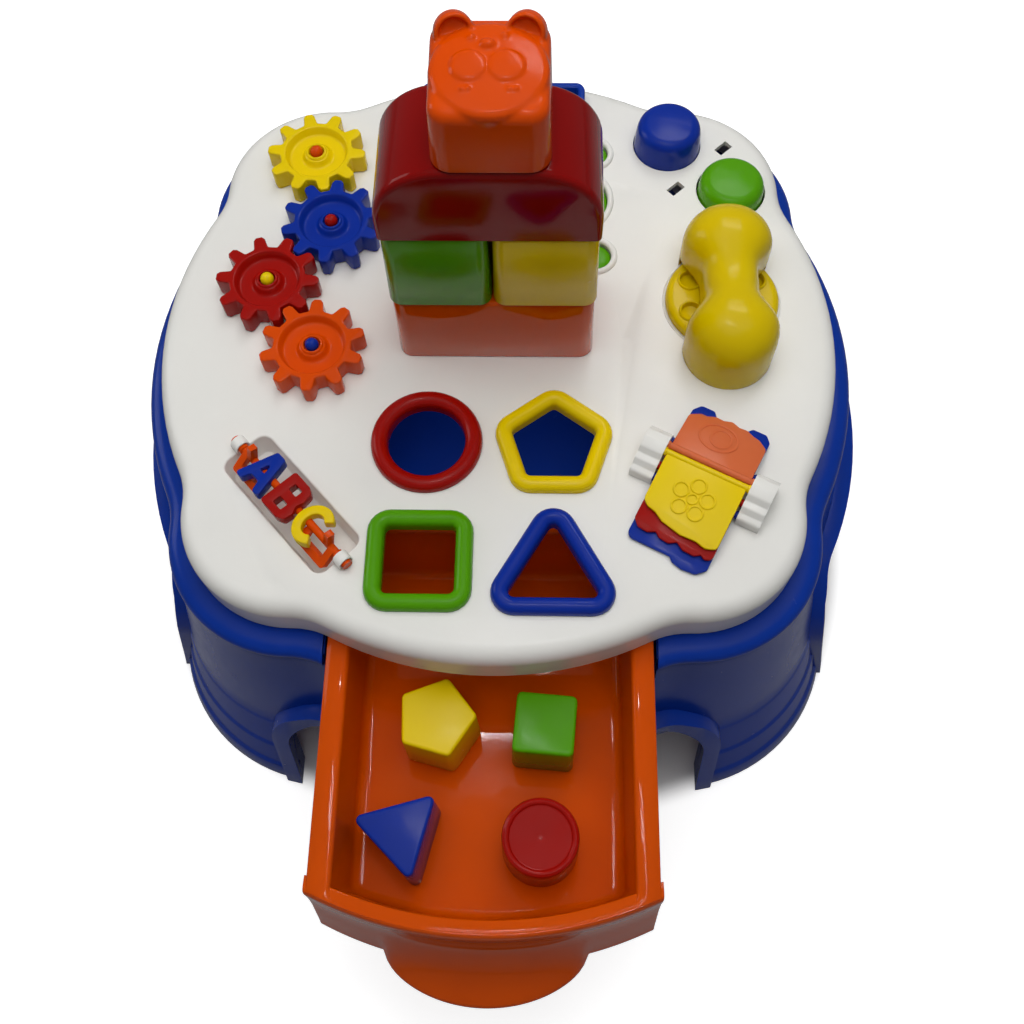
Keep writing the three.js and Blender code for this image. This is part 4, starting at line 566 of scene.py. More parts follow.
# Drawer: the tray and the panel on its front, each skinned from sections
def make_drawer():
    # Up the outside, over the flange and down the inside: half width, front radius, back, corner, height
    rings = [ring(tray_outline(h, f, b, r), z) for h, f, b, r, z in (
        (74.5, 204, -112, 7, -88), (76, 208, -110.5, 8, -87), (77.5, 212.4, -108.5, 9, -31.5),
        (87.2, 213.4, -108, 2, -31), (87.5, 213.8, -108, 2, -30.6), (87.5, 213.8, -108, 2, -28.5),
        (87, 213.4, -108.5, 2, -28), (77.5, 212.6, -111.5, 8, -28), (76.4, 211.8, -112.5, 7.5, -28.4),
        (75.6, 211.2, -113.2, 7, -29.4), (75.2, 210.8, -113.6, 7, -31), (73.6, 203.6, -116.5, 6, -76),
        (72.9, 202.6, -117.2, 6, -79.5), (71.2, 201, -119, 5, -81.5), (68.6, 198.4, -121.5, 4, -82),
    )]
    tray = draft(skin(rings))
    finish(tray, "drawer_tray", "orange_plastic", "drawer", "drawer", smooth=50)

    # The panel's section, as how far it stands out at each height, and how much of the lip each height has
    base_profile = [
        (-4, -29.6), (1.5, -28.1), (3.2, -28.2), (4.4, -29.2), (5.1, -31.6), (5.4, -37), (5.8, -43), (6.7, -50),
        (7.9, -57), (9.1, -62), (10.3, -67), (11.6, -72.4), (12.4, -76), (13.3, -79.7), (14.0, -82.4),
        (14.4, -83.8), (14.8, -84.8), (15.1, -86.6), (14.9, -87.6), (14.2, -88), (-8, -88),
    ]
    lip_form = {-57: 0.03, -62: 0.1, -67: 0.18, -72.4: 0.3, -76: 0.43, -79.7: 0.62, -82.4: 0.82,
                -83.8: 0.95, -84.8: 1.0, -86.6: 1.0, -87.6: 1.0, -88: 1.0}
    sections = []
    for i in range(73):
        x = -PANEL_HALF + 2 * PANEL_HALF * i / 72
        bulge = LIP_REACH * math.sqrt(max(1 - (x / LIP_HALF) ** 2, 0))
        y0 = FRONT_CENTRE_Y - math.sqrt(PANEL_R**2 - x * x)
        points = []
        for j, (out, z) in enumerate(base_profile):
            share = lip_form.get(z, 0) if 0 < j < len(base_profile) - 1 else 0
            points.append(Vector((x, y0 - out - bulge * share, z)))
        sections.append(points)
    panel = rounded(draft(skin(sections)), 1.6, 3, 50)
    finish(panel, "drawer_front", "orange_plastic", "drawer", "drawer", smooth=50)


# The loose shapes: prisms with a little draft, and a disc with a sunk face
DRAWER_FLOOR = -82
BLOCK_FLOOR = DRAWER_FLOOR + SEAT
BLOCK_H = 41


def make_blocks():
    for name, slot, sides, radius, at, turn in (
        ("pentagon_block", "yellow_plastic", 5, 22.4, (-28.5, -214), 3),
        ("square_block", "green_plastic", 4, 16.3 * math.sqrt(2), (30, -216.5), 40.5),
        ("triangle_block", "deep_blue_plastic", 3, 26.3, (-44.4, -273), 46),
    ):
        low, high = grown(regular(sides, radius), 3, 0.8, 5), grown(regular(sides, radius), 3, 0, 5)
        block = rounded(draft(skin([ring(low, 0), ring(high, BLOCK_H)])), 1.7, 4, 60)
        spot = Matrix.Translation((*at, BLOCK_FLOOR))
        block.data.transform(spot @ Matrix.Rotation(math.radians(turn), 4, "Z"))
        finish(block, name + "_fine", slot, name, name, smooth=50)
    profile = [(0, 0), (20.2, 0), (20.8, 0.8), (20.1, 38.6), (19.6, 40.2), (18.4, BLOCK_H), (17.4, 40.9)]
    profile += [(16.6, 40.3), (16.2, 39.5), (15.4, 39.2), (3, 39.3), (2.2, 39.0), (0, 39.0)]
    disc = draft(put(lathe(profile, 96), 28.2, -275, BLOCK_FLOOR))
    finish(disc, "round_block_fine", "red_plastic", "round_block", "round_block")


# Gears
TEETH, GEAR_ROOT, GEAR_TIP = 10, 22.3, 30
FIRST_GEAR_TURN = math.radians(32.6)


# A tooth's flank bulges towards its tip; places round the wheel are shares of one tooth's step
def gear_outline():
    corners = []
    flank = GEAR_ROOT + (GEAR_TIP - GEAR_ROOT) * 0.78
    for tooth in range(TEETH):
        for radius, share, fillet in (
            (GEAR_ROOT, -0.3, 1.3), (flank, -0.19, 0), (GEAR_TIP, -0.1, 0.9),
            (GEAR_TIP, 0.1, 0.9), (flank, 0.19, 0), (GEAR_ROOT, 0.3, 1.3),
        ):
            angle = (tooth + share) * FULL / TEETH
            corners.append((radius * math.cos(angle), radius * math.sin(angle), fillet))
    return filleted(corners, 0, 3)


def make_gears():
    # Each gear is turned so that its teeth stand between those of the one before
    turns = [FIRST_GEAR_TURN]
    for along in GEAR_BEARINGS:
        turns.append((along + math.pi - (turns[-1] - along) + FULL / TEETH / 2) % (FULL / TEETH))
    slots = (
        ("yellow", "yellow_plastic", "bright_orange_plastic"), ("blue", "deep_blue_plastic", "red_plastic"),
        ("red", "red_plastic", "yellow_plastic"), ("orange", "bright_orange_plastic", "deep_blue_plastic"),
    )
    blank = rounded(draft(slab(gear_outline(), 0, 13)), 0.9, 3, 60)
    dish = [(9.0, 8.7), (9.5, 8.2), (10.4, 8), (16, 8), (17, 8.3), (17.6, 9.2), (18.7, 12.4), (19.3, 12.9)]
    dish += [(20, 13.05), (20, 16), (4.6, 16), (4.6, 13.05), (5.4, 13.05), (5.9, 12.8), (6.4, 11.7)]
    dish += [(7.2, 11.4), (7.7, 10.9), (8.3, 9.4)]
    combine(blank, lathe(dish, 72, closed=True))
    recess = [(0, 16), (4.9, 16), (4.9, 13), (4.6, 12.4), (4.5, 9.5), (0, 9.5)]
    combine(blank, lathe(recess, 48))
    for (name, slot, pin_slot), at, angle in zip(slots, GEAR_AT, turns):
        gear = bpy.data.objects.new(name, blank.data.copy())
        scene.collection.objects.link(gear)
        gear.data.transform(Matrix.Translation((*at, SEAT)) @ Matrix.Rotation(angle, 4, "Z"))
        finish(gear, name + "_gear_fine", slot, name + "_gear", name + "_gear", smooth=42)
        dome = [(0, -12), (2.6, -12), (2.6, 12), (3.9, 12)]
        dome += sweep((0, 12.6), 3.9, 3.7, [QUARTER * i / 8 for i in range(8)])
        dome.append((0, 16.3))
        pin = draft(put(lathe(dome, 40), *at))
        finish(pin, name + "_pin_fine", pin_slot, "carcass", name + "_gear_pin")
    bpy.data.objects.remove(blank)


# Letter spinner, drawn along X on its own axis
def spinner_place(along=0.0):
    x = WELL_AT[0] + along * math.cos(WELL_TURN)
    y = WELL_AT[1] + along * math.sin(WELL_TURN)
    return Matrix.Translation((x, y, 4)) @ Matrix.Rotation(WELL_TURN, 4, "Z")


# Plain block letters: an outline and the holes through it
LETTER_A = (
    [(-10, -12), (-5.2, -12.4), (-3, -6.4), (3, -6.4), (5.2, -12.4), (10, -12), (3.4, 12), (-3.4, 12)],
    [[(-1.9, -1.4), (1.9, -1.4), (0, 5.4)]],
)
LETTER_B = (
    [(-9, -12), (4.5, -12), (9, -10), (9.6, -4.4), (7.4, -0.4), (8.6, 4), (7.2, 10), (3.4, 12), (-9, 12)],
    [
        [(-3.2, -7.6), (3.2, -7.6), (3.4, -2.9), (-3.2, -2.9)],
        [(-3.2, 2.9), (2.8, 2.9), (2.8, 7.4), (-3.2, 7.4)],
    ],
)


def letter_c():
    angles = [0.8 + (FULL - 1.6) * i / 26 for i in range(27)]
    return sweep((0, 0), 10.2, 12.2, angles) + sweep((0, 0), 5.0, 6.6, angles[::-1]), []


LETTER_STEP = 21.4
CLIP_ALONG = 45.55


def make_spinner():
    for name, slot, (outline, holes), along in (
        ("letter_one", "deep_blue_plastic", LETTER_A, -LETTER_STEP),
        ("letter_two", "red_plastic", LETTER_B, 0),
        ("letter_three", "yellow_plastic", letter_c(), LETTER_STEP),
    ):
        fillet = 0 if name == "letter_three" else 1.6
        body = draft(slab(filleted(outline, fillet, 4), -1.6, 5.4))
        for hole in holes:
            combine(body, slab(filleted(hole, 0.7, 3), -6, 8))
        body = rounded(body, 1.0, 3, 50)
        body.data.transform(spinner_place(along))
        finish(body, name + "_fine", slot, "letter_spinner", name, smooth=45)

    shaft = [(0, -50), (2.6, -50), (3, -49.5), (3, -41), (2.2, -40.5), (2.2, 40.5), (3, 41)]
    for i in range(5):
        shaft += [(3, 42 + i * 1.7), (2.7, 42.5 + i * 1.7), (2.7, 42.9 + i * 1.7), (3, 43.3 + i * 1.7)]
    shaft += [(2.6, 50), (0, 50)]
    rod = draft(put(lathe(shaft, 32), tip=ALONG_X))
    # A crank is an open frame that hangs aside of the axis, with a short arm
    down = Matrix.Rotation(math.radians(38), 4, "X")
    cranks = []
    for side in (-1, 1):
        crank = draft(slab(filleted(span(side * 17, side * 40, -12.6, 0), 1.8, 4), -2.3, 2.3))
        combine(crank, slab(filleted(span(side * 21.4, side * 35.6, -8.2, 3), 1.2, 4), -4, 4))
        combine(crank, put(slab(span(side * 35.6, side * 31.2, 0, 10.5), -2.2, 2.2), tip=down), "UNION")
        crank = rounded(crank, 0.9, 3, 50)
        crank.data.transform(down)
        cranks.append(crank)
    for crank in cranks:
        combine(crank, slab([(-32, -13), (32, -13), (32, 40), (-32, 40)], -2.0, 40))
        bm = bmesh.new()
        bm.from_mesh(crank.data)
        bpy.data.objects.remove(crank)
        combine(rod, bm, "UNION")
    rod.data.transform(spinner_place())
    finish(rod, "spinner_frame", "bright_orange_plastic", "letter_spinner", "spinner_spindle", smooth=45)

    for name, along in (("spinner_clip_back", -CLIP_ALONG), ("spinner_clip_front", CLIP_ALONG)):
        outline = arc((0, 0), 4.4, 0, math.pi, 16) + [(-4.4, -3.7), (4.4, -3.7)]
        clip = draft(put(slab(outline, -3, 3), tip=ALONG_X))
        combine(clip, put(slab(circle(3.3, 24), -8, 8), tip=ALONG_X))
        combine(clip, slab([(-8, -3.3), (8, -3.3), (8, 3.3), (-8, 3.3)], -9, 0))
        clip = rounded(clip, 0.7, 3, 50)
        clip.data.transform(spinner_place(along))
        finish(clip, name + "_fine", "white_plastic", "carcass", name, smooth=45)


# Telephone: a dial with six finger holes on its hub
def make_phone():
    profile = [(3.3, 0), (32.2, 0), (32.6, 0.5), (32.5, 3.2), (31.6, 4.8), (30, 5.8), (28.2, 6), (3.3, 6)]
    dial = draft(lathe(profile, 96, closed=True))
    places = regular(6, 21.5, 0.52)
    pocket = [(0, 3), (4.6, 3), (5.3, 3.4), (5.6, 4.2), (5.6, 9), (0, 9)]
    combine(dial, together(*[put(lathe(pocket, 32), *at) for at in places]))
    dial.data.transform(Matrix.Translation((*DIAL_AT, SEAT)))
    finish(dial, "dial_plate", "phone_yellow_plastic", "phone_dial", "phone_dial")
    lip = [(5.5, 4.5), (5.5, 6.6), (5.8, 7.1), (6.3, 7.2), (6.8, 6.9), (7.1, 6.2), (7.3, 5.2)]
    rings = [put(lathe(lip, 40, closed=True), DIAL_AT[0] + x, DIAL_AT[1] + y, SEAT) for x, y in places]
    finish(draft(together(*rings)), "finger_rings", "phone_yellow_plastic", "phone_dial", "phone_dial")
    pivot = [(0, -6), (3, -6), (3, 6.6), (5, 6.6), (5, 7.1), (4.2, 7.7), (2, 7.8), (0, 7.8)]
    hub = draft(put(lathe(pivot, 40), *DIAL_AT))
    finish(hub, "dial_hub", "phone_yellow_plastic", "carcass", "dial_pivot")


# Handset: sections from end to end, straight sides under a rounded back
HANDSET_HALF = 54
EAR_AT, EAR_R, WAIST = 28.5, 25.5, 15.5
EAR_WALL, EAR_TOP, WAIST_DIP, WAIST_RISE = 19, 42, 4.5, 3


def make_handset():
    def half_width(y):
        y = abs(y)
        if y > EAR_AT:
            return math.sqrt(max(EAR_R**2 - (y - EAR_AT) ** 2, 0.0))
        share = min(max((y - 7) / (EAR_AT - 7), 0), 1)
        return WAIST + (EAR_R - WAIST) * share * share * (3 - 2 * share)

    def height(y):
        y = abs(y)
        if y > EAR_AT:
            return EAR_WALL + (EAR_TOP - EAR_WALL) * math.sqrt(max(1 - ((y - EAR_AT) / EAR_R) ** 2, 0.0))
        return EAR_TOP - WAIST_DIP * (0.5 + 0.5 * math.cos(math.pi * y / EAR_AT))

    def wall(y):
        y = abs(y)
        if y > EAR_AT:
            return EAR_WALL * (1 - 0.25 * ((y - EAR_AT) / EAR_R) ** 2)
        return EAR_WALL + WAIST_RISE * (0.5 + 0.5 * math.cos(math.pi * y / EAR_AT))

    stations = [HANDSET_HALF * math.sin(QUARTER * i / 32) for i in range(-31, 32)]
    sections = []
    for y in stations:
        w, top, side = half_width(y), height(y), wall(y)
        points = [Vector((w, y, 0)), Vector((w, y, side * 0.5)), Vector((w, y, side))]
        for i in range(1, 24):
            a = math.pi * i / 24
            c, s = math.cos(a), math.sin(a)
            points.append(Vector((w * math.copysign(abs(c) ** 0.86, c), y, side + (top - side) * s**0.86)))
        points += [Vector((-w, y, side)), Vector((-w, y, side * 0.5)), Vector((-w, y, 0))]
        sections.append(points)
    handset = draft(skin(sections))
    handset.data.transform(Matrix.Translation((131.5, 18, SEAT)))
    combine(handset, put(slab(circle(35, 96), -5, 10.2), *DIAL_AT))
    handset = rounded(handset, 1.0, 2, 60)
    finish(handset, "handset_fine", "phone_yellow_plastic", "handset", "handset", smooth=60)


# See-saw buttons
BUTTON_TRAVEL = 8


def make_buttons():
    for name, slot, at, drop in (
        ("blue_button", "deep_blue_plastic", BLUE_BUTTON_AT, 0),
        ("green_button", "green_plastic", GREEN_BUTTON_AT, -BUTTON_TRAVEL),
    ):
        cap = [(0, -5.7), (21.8, -5.7), (21.8, -3.3), (20.6, -3.3), (20.5, 0), (19.6, 11.5)]
        cap += sweep((13.0, 12.2), 6.4, 6.4, [QUARTER * i / 8 for i in range(9)])
        cap += [(9, 19.1), (5, 19.5), (0, 19.7)]
        body = draft(lathe(cap, 96))
        combine(body, lathe([(0, -8), (18.2, -8), (17, 11), (13.5, 15.4), (0, 16.6)], 64))
        stem = lathe([(0, -17.2), (2, -16.6), (3, -14.5), (3, 18), (0, 18)], 32)
        combine(body, stem, "UNION")
        body.data.transform(Matrix.Translation((*at, drop)))
        finish(body, name + "_fine", slot, name, name, smooth=50)


# Flip book: X along the hinge line, Y to the back
BOOK = Matrix.Translation((114.4, -92.3, 0)) @ Matrix.Rotation(math.radians(-27), 4, "Z")
PAGE_HALF = 23
PAGE_LONG = 37
# Each page: its end's corners as shares of half width and length with a radius, then its hinge's place,
# its slope as it lies, and whether it lies to the back
PAGES = (
    ("blue_page", "deep_blue_plastic", [
        (-1, 1, 4), (0.1, 1, 1), (0.2, 1.06, 2), (0.45, 1.1, 4), (0.8, 1.08, 3), (1, 0.96, 3),
    ], -12.4, 4.2, 0.07, False),
    ("red_page", "red_plastic", [
        (-1, 0.88, 3), (-0.85, 0.98, 3), (-0.6, 1, 3), (-0.42, 0.94, 1), (-0.3, 1, 3), (-0.05, 1.02, 3),
        (0.12, 0.95, 1), (0.3, 1.02, 3), (0.6, 1.03, 3), (0.72, 0.97, 1), (0.85, 1.02, 2.4), (1, 0.96, 3),
    ], -6.8, 8.2, 0.094, False),
    ("yellow_page", "yellow_plastic", [
        (-1, 0.78, 4), (-0.85, 0.86, 2), (-0.62, 0.9, 2), (-0.4, 0.98, 5), (0.1, 1.05, 6), (0.5, 1.04, 2),
        (0.75, 1.08, 3), (1, 1.02, 3),
    ], 0, 13, 0.132, False),
    ("orange_page", "coral_plastic", [
        (-1, 0.66, 4), (-0.75, 0.78, 2), (-0.6, 0.8, 1), (-0.4, 0.86, 3), (-0.2, 0.85, 1), (0, 0.9, 3),
        (0.2, 0.85, 1), (0.4, 0.86, 3), (0.6, 0.8, 1), (0.75, 0.8, 2), (1, 0.7, 3),
    ], 4.2, 13, 0.243, True),
    ("blue_back_page", "deep_blue_plastic", [
        (-1, 0.7, 3), (-0.85, 0.82, 2.4), (-0.5, 0.82, 2.4), (-0.35, 0.7, 1), (0.35, 0.7, 1),
        (0.5, 0.84, 2.4), (0.85, 0.84, 3), (1, 0.7, 3),
    ], 9.6, 8, 0.206, True),
)


# A raised line along a closed outline, as moulded on the pages
def raised_line(outline, width, low, high):
    points = [Vector(point) for point in outline]
    middle = sum(points, Vector((0, 0))) / len(points)
    rings = []
    for share, z in ((0, low), (0, high - 0.25), (0.3, high), (0.7, high), (1, high - 0.25), (1, low)):
        moved = [point - (point - middle).normalized() * width * share for point in points]
        rings.append(ring(moved, z))
    return skin(rings, closed=True)


def make_book():
    for name, slot, end, y, z, slope, back in PAGES:
        scalloped = [(PAGE_HALF * across, -PAGE_LONG * down, r) for across, down, r in end]
        corners = [(-PAGE_HALF, 0.8, 0)] + scalloped + [(PAGE_HALF, 0.8, 0)]
        leaf = rounded(draft(slab(filleted(corners, 0, 5), -1.1, 1.1)), 0.5, 2, 50)
        parts = []
        if name == "yellow_page":
            petal = [(3.3, 0.6), (3.3, 1.5), (3.6, 1.8), (4.3, 1.8), (4.6, 1.5), (4.6, 0.6)]
            for i in range(5):
                a = FULL * i / 5 + 0.3
                parts.append(put(lathe(petal, 32, closed=True), 8 * math.cos(a), -18.5 + 8 * math.sin(a)))
            heart = [(2.2, 0.6), (2.2, 1.6), (2.5, 1.9), (3.1, 1.9), (3.4, 1.6), (3.4, 0.6)]
            parts.append(put(lathe(heart, 32, closed=True), 0, -18.5))
        if name == "orange_page":
            for rx, ry, cx in ((11.5, 10, 2.5), (6.4, 7, 1)):
                oval = sweep((cx, -18), rx, ry, [FULL * k / 40 for k in range(40)])
                parts.append(raised_line(oval, 1.5, 0.6, 1.7))
        half_rod = [(0, -27.4), (1.7, -27.4), (1.7, -25.2), (2.4, -25.0), (2.4, -23.6), (1.9, -23.4)]
        rod = half_rod + [(r, -along) for r, along in reversed(half_rod)]
        parts.append(put(lathe(rod, 24), tip=ALONG_X))
        extra = draft(together(*parts))
        hinge = BOOK @ Matrix.Translation((0, y, z)) @ Matrix.Rotation(math.pi if back else 0, 4, "Z")
        for obj, suffix in ((leaf, "_leaf"), (extra, "_relief")):
            obj.data.transform(hinge @ Matrix.Rotation(slope, 4, "X"))
            finish(obj, name + suffix, slot, name, name, smooth=50)

    for side in (-1, 1):
        outline = [(-15.6, 0, 0), (12.6, 0, 0), (12.6, 9.6, 3), (7.6, 15.4, 3), (2, 16.6, 3), (-3.6, 15, 3)]
        outline += [(-6, 11.6, 1.5), (-9.6, 11, 2), (-12, 7.6, 1.5), (-15.6, 6.6, 2)]
        body = draft(put(slab(filleted(outline, 0, 4), 0, 13), tip=ALONG_X))
        bores = [(y, z - SEAT) for _, _, _, y, z, _, _ in PAGES]
        combine(body, together(*[put(slab(circle(2.0, 20), -2, 4), 0, y, z, tip=ALONG_X) for y, z in bores]))
        body = rounded(body, 1.2, 3, 50)
        flip = Matrix.Scale(side, 4, (1, 0, 0))
        body.data.transform(BOOK @ Matrix.Translation((side * 24.6, 0, SEAT)) @ flip)
        if side < 0:
            body.data.flip_normals()
        name = "book_bracket_right" if side > 0 else "book_bracket_left"
        finish(body, name + "_fine", "white_plastic", "carcass", name, smooth=50)


# Stacking tower
TOWER_Y = 11.8
BLOCK_HALF_Y, BASE_HALF, SMALL_HALF = 27.5, 55, 27.35
BASE_H, SMALL_H, ROOF_H, ROOF_SHOULDER = 50.7, 54.7, 47.5, 34
SMALL_X = SMALL_HALF + SEAT
SMALL_Z = SEAT + BASE_H + SEAT
ROOF_Z = SMALL_Z + SMALL_H + SEAT
BEAR_Z = ROOF_Z + ROOF_H + SEAT


def hollow_block(half_x, height, corner, edge):
    def outline(o):
        return filleted(rectangle(half_x + o, BLOCK_HALF_Y + o), corner + o, 8)

    middle = (-1 - edge, height - edge)
    profile = [(-0.4, 0), (0, 0.5), (-1, height - edge)]
    profile += sweep(middle, edge, edge, [QUARTER * i / 5 for i in range(1, 6)])
    body = draft(skin([ring(outline(o), z) for o, z in profile]))
    return combine(body, skin([ring(outline(-3), -5), ring(outline(-4), height - 3)]))


def make_tower():
    base = hollow_block(BASE_HALF, BASE_H, 8, 2.5)
    base.data.transform(Matrix.Translation((0, TOWER_Y, SEAT)))
    finish(base, "tower_base_fine", "orange_plastic", "tower_base_block", "tower_base_block", smooth=50)
    for name, slot, side in (
        ("tower_green_block", "green_plastic", -1), ("tower_yellow_block", "yellow_plastic", 1),
    ):
        block = hollow_block(SMALL_HALF, SMALL_H, 7, 2.5)
        block.data.transform(Matrix.Translation((side * SMALL_X, TOWER_Y, SMALL_Z)))
        finish(block, name + "_fine", slot, name, name, smooth=50)

    def section(inset, low):
        half, high, shoulder = BASE_HALF - inset, ROOF_H - inset, ROOF_SHOULDER - inset
        corners = [(-half, low, 0), (half, low, 0), (half, high, shoulder), (-half, high, shoulder)]
        return filleted(corners, 0, 14)

    front = [(3.4, -27.5), (1.7, -27.2), (0.7, -26.3), (0.15, -25), (0, -23.4)]
    ends = front + [(inset, -along) for inset, along in reversed(front)]
    roof = draft(put(skin([ring(section(i, -70), z) for i, z in ends]), tip=ALONG_Y))
    combine(roof, put(skin([ring(section(3, -72), -24.5), ring(section(3, -72), 24.5)]), tip=ALONG_Y))
    combine(roof, slab(rectangle(90, 60), -120, 0))
    roof.data.transform(Matrix.Translation((0, TOWER_Y, ROOF_Z)))
    finish(roof, "tower_roof_fine", "dark_red_plastic", "tower_roof_block", "tower_roof_block", smooth=50)


def ball(x, y, z, rx, ry, rz):
    bm = bmesh.new()
    bmesh.ops.create_uvsphere(bm, u_segments=48, v_segments=24, radius=1)
    return put(bm, x, y, z, 0, Matrix.Diagonal((rx, ry, rz, 1)))


# Bear block: a rounded cup with a face moulded over its top and front edge
def make_bear():
    def outline(o):
        return filleted(rectangle(BLOCK_HALF_Y + o, BLOCK_HALF_Y + o), 10 + o, 8)

    profile = [(-0.4, 0), (0, 0.6)] + sweep((-6, 31), 5, 5, [QUARTER * i / 6 for i in range(7)])
    head = skin([ring(outline(o), z) for o, z in profile])
    for vert in head.verts:
        vert.co.z += 2.4 * vert.co.y / BLOCK_HALF_Y if vert.co.z > 20 else 0
    bear = draft(head)
    combine(bear, skin([ring(outline(-3), -5), ring(outline(-4), 29)]))
    tilt = Matrix.Rotation(math.radians(6), 4, "X")
    plate = [(0, -14), (25.6, -14), (26.2, -5), (26.4, -1), (25.6, 1.2), (23.4, 2.4), (17, 3.2), (0, 3.8)]
    face = [put(lathe(plate, 72), 0, -2.4, 35, 0, tilt @ Matrix.Diagonal((1, 0.94, 1, 1)))]
    cheek = [(0, -2), (8, -2), (8, 0.4), (7.3, 1.1), (6, 1.4), (0, 1.6)]
    face += [put(lathe(cheek, 48), side * 8.1 - 0.6, -2.6, 38.4, 0, tilt) for side in (-1, 1)]
    face.append(ball(-0.8, 8.4, 39.4, 3.6, 2.8, 2.4))
    face += [ball(x, y, 39.4, 1.9, 1.9, 1.6) for x, y in ((-7.8, 12), (6.6, 13))]
    face += [ball(x, -14, 37.2, 1.1, 1.1, 1.2) for x in (-11.2, -8.6, 9, 11.8)]
    ear = [(0, -4.4), (7.6, -4.4), (8.6, -3.6), (9, -2), (9, 2.6), (8.6, 3.8), (7.8, 4.4), (7, 3.8), (6.5, 1.8)]
    ear.append((0, 1))
    lean = Matrix.Rotation(math.radians(62), 4, "X")
    face += [put(lathe(ear, 48), side * 15.8, 18.5, 36.4, side * -0.2, lean) for side in (-1, 1)]
    for part in face:
        combine(bear, part, "UNION")
    blend = bear.modifiers.new("blend", "REMESH")
    blend.mode = "VOXEL"
    blend.voxel_size = 0.7
    soften = bear.modifiers.new("soften", "SMOOTH")
    soften.factor = 0.5
    soften.iterations = 4
    settle(bear)
    bear.data.transform(Matrix.Translation((2.5, TOWER_Y, BEAR_Z)))
    finish(bear, "bear_fine", "bright_orange_plastic", "tower_bear_block", "tower_bear_block", smooth=80)


# Studio: the eye sees a white floor and sky, which throw little light back on the plastic.
# Glass would see them white too, and gloss sees a tenth of that, as over a dull floor
GLOSS_SHARE = 0.1


def seen_rays(tree):
    path = add_node(tree, "ShaderNodeLightPath")
    glossy = path.outputs["Is Glossy Ray"]
    dulled = add_node(tree, "ShaderNodeMath", {"operation": "MULTIPLY"}, {0: glossy, 1: GLOSS_SHARE})
    seen = path.outputs["Is Camera Ray"]
    for ray in (path.outputs["Is Transmission Ray"], dulled.outputs[0]):
        seen = add_node(tree, "ShaderNodeMath", {"operation": "MAXIMUM"}, {0: seen, 1: ray}).outputs[0]
    return seen


# The table's footprint is a rounded square, |x|^n + |y|^n, in metres; inside it the floor's own light fades
# out, a painted shadow under the table
FOOTPRINT_POWER = 2.66
FOOTPRINT_FROM, FOOTPRINT_TO = 0.228, 0.246
FLOOR_GLOW = 0.68
SKY_LIGHT = 0.12


def make_floor():
    bm = bmesh.new()
    bmesh.ops.create_grid(bm, x_segments=1, y_segments=1, size=8)
    mesh = bpy.data.meshes.new("floor")
    bm.to_mesh(mesh)
    bm.free()
    floor = bpy.data.objects.new("floor", mesh)
    scene.collection.objects.link(floor)
    material = bpy.data.materials.new("studio_floor")
    material.use_nodes = True
    tree = material.node_tree
    tree.nodes.clear()
    # Painted shadow: the floor's glow fades to nothing inside the table's footprint, so the floor under the
    # table stays dark
    place = add_node(tree, "ShaderNodeVectorMath", {"operation": "SUBTRACT"}, {
        0: add_node(tree, "ShaderNodeTexCoord").outputs["Object"], 1: (0, HOME.y * MM, 0),
    })
    sides = add_node(tree, "ShaderNodeSeparateXYZ", None, {0: place.outputs[0]})
    total = 0.0
    for axis in (0, 1):
        far = add_node(tree, "ShaderNodeMath", {"operation": "ABSOLUTE"}, {0: sides.outputs[axis]})
        far = add_node(tree, "ShaderNodeMath", {"operation": "POWER"}, {0: far.outputs[0], 1: FOOTPRINT_POWER})
        far = add_node(tree, "ShaderNodeMath", {"operation": "ADD"}, {0: far.outputs[0], 1: total})
        total = far.outputs[0]
    spread = add_node(tree, "ShaderNodeMath", {"operation": "POWER"}, {0: total, 1: 1 / FOOTPRINT_POWER})
    painted_shadow_glow = add_node(tree, "ShaderNodeMapRange", {"interpolation_type": "SMOOTHSTEP"}, {
        0: spread.outputs[0], 1: FOOTPRINT_FROM, 2: FOOTPRINT_TO, 3: 0.0, 4: FLOOR_GLOW,
    })
    glow = add_node(tree, "ShaderNodeEmission", None, {"Color": (1, 1, 1, 1), "Strength": painted_shadow_glow.outputs[0]})
    pale = add_node(tree, "ShaderNodeBsdfDiffuse", None, {"Color": colour("e0e0e0")})
    both = add_node(tree, "ShaderNodeAddShader", None, {0: pale.outputs[0], 1: glow.outputs[0]})
    dim = add_node(tree, "ShaderNodeBsdfDiffuse", None, {"Color": colour("9a9a9a")})
    mixed = add_node(tree, "ShaderNodeMixShader", None, {
        0: seen_rays(tree), 1: dim.outputs[0], 2: both.outputs[0],
    })
    add_node(tree, "ShaderNodeOutputMaterial", None, {"Surface": mixed.outputs[0]})
    mesh.materials.append(material)


def add_lamp(name, size, power, place, aim=None, turn=0.0, gloss=True):
    data = bpy.data.lights.new(name, "AREA")
    data.shape = "RECTANGLE"
    data.size, data.size_y = size
    data.energy = power
    lamp = bpy.data.objects.new(name, data)
    scene.collection.objects.link(lamp)
    lamp.location = place
    lamp.visible_glossy = gloss
    if aim:
        lamp.rotation_euler = (Vector(aim) - Vector(place)).to_track_quat("-Z", "Y").to_euler()
    else:
        lamp.rotation_euler = (0, 0, turn)


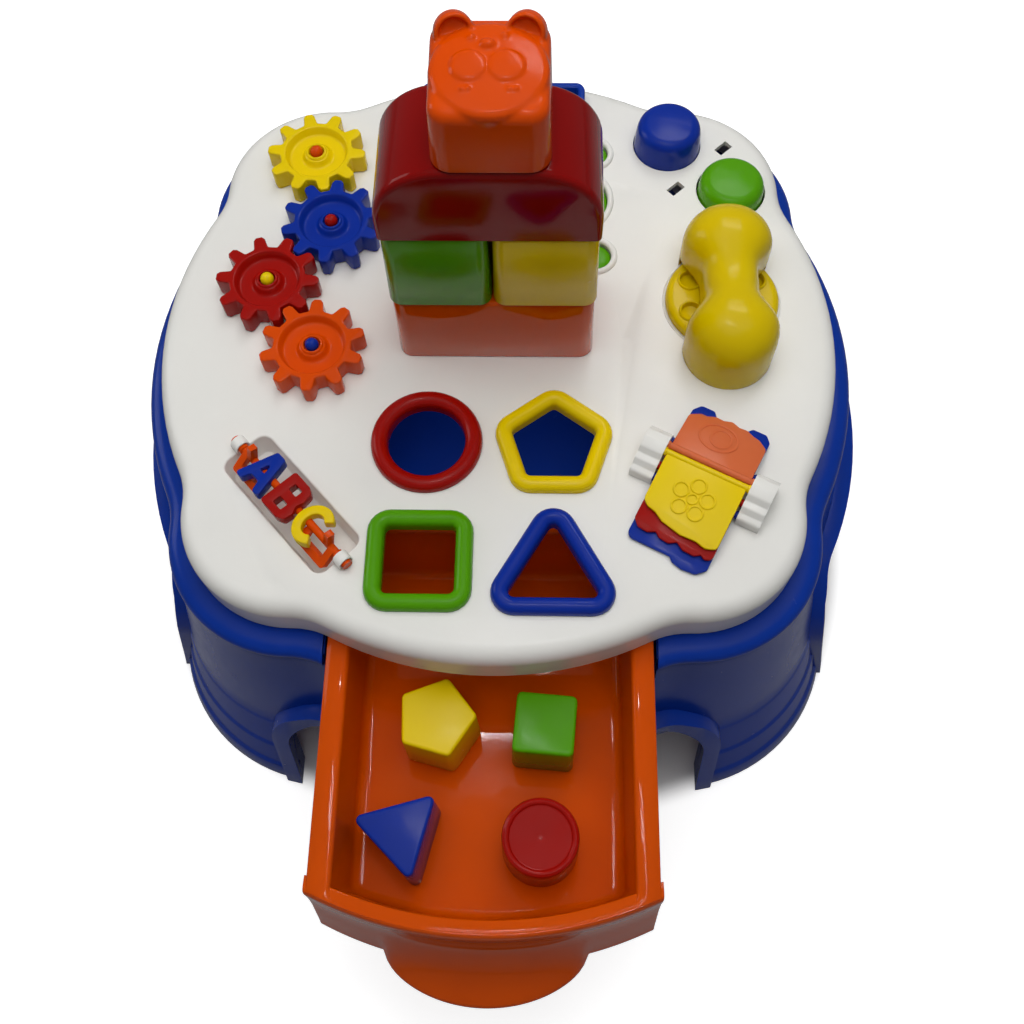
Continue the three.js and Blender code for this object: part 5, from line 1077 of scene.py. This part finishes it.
# Thin tubes straight overhead, from end to end in metres, that the drawer's floor mirrors as streaks
STREAKS = (
    (-0.12, 0.063, 0.065, 0.04), (0.065, 0.04, 0.227, -0.107), (-0.12, 0.029, 0.06, 0.008),
    (0.06, 0.008, 0.2, -0.12), (-0.118, 0.003, 0.05, -0.02), (-0.098, 0.191, -0.017, 0.192),
)


def make_light():
    world = bpy.data.worlds.new("studio")
    scene.world = world
    world.use_nodes = True
    tree = world.node_tree
    tree.nodes.clear()
    strength = add_node(tree, "ShaderNodeMix", {"data_type": "FLOAT"}, {
        0: seen_rays(tree), 2: SKY_LIGHT, 3: 1.0,
    })
    sky = add_node(tree, "ShaderNodeBackground", None, {
        "Color": (1, 1, 1, 1), "Strength": strength.outputs[0],
    })
    add_node(tree, "ShaderNodeOutputWorld", None, {"Surface": sky.outputs[0]})
    # A soft panel that gloss doesn't see, tubes and a window that it does, and a little light in the shell
    add_lamp("ceiling_panel", (1.4, 1.4), 15, (0.05, 0.05, 1.6), (0, 0, 0.1), gloss=False)
    for i, y in enumerate((0.78, 0.88, 0.98, 1.14, 1.48)):
        add_lamp(f"ceiling_tube_{i}", (0.62, 0.022), 0.6, (0.34, y, 1.5), (0.1, 0.1, 0.1))
    add_lamp("window_left", (0.5, 0.8), 2.2, (-1.3, 0.5, 0.9), (0, 0, 0.1))
    add_lamp("shell_glow", (0.12, 0.12), 0.02, (0, 0.02, 0.195), gloss=False)
    for i, (x0, y0, x1, y1) in enumerate(STREAKS):
        along, turn = math.dist((x0, y0), (x1, y1)), math.atan2(y1 - y0, x1 - x0)
        add_lamp(f"streak_{i}", (along, 0.009), 0.16, ((x0 + x1) / 2, (y0 + y1) / 2, 1.5), turn=turn)


add_camera()
for part in frame["record"]["subparts"]:
    node = frame["nodes"][part["node"]]
    node.data.materials.clear()
    node.data.materials.append(PLASTICS[part["material_slot"]])
make_top()
make_base()
make_frame_and_discs()
make_bezels()
make_drawer()
make_blocks()
make_gears()
make_spinner()
make_phone()
make_handset()
make_buttons()
make_book()
make_tower()
make_bear()
make_floor()
make_light()
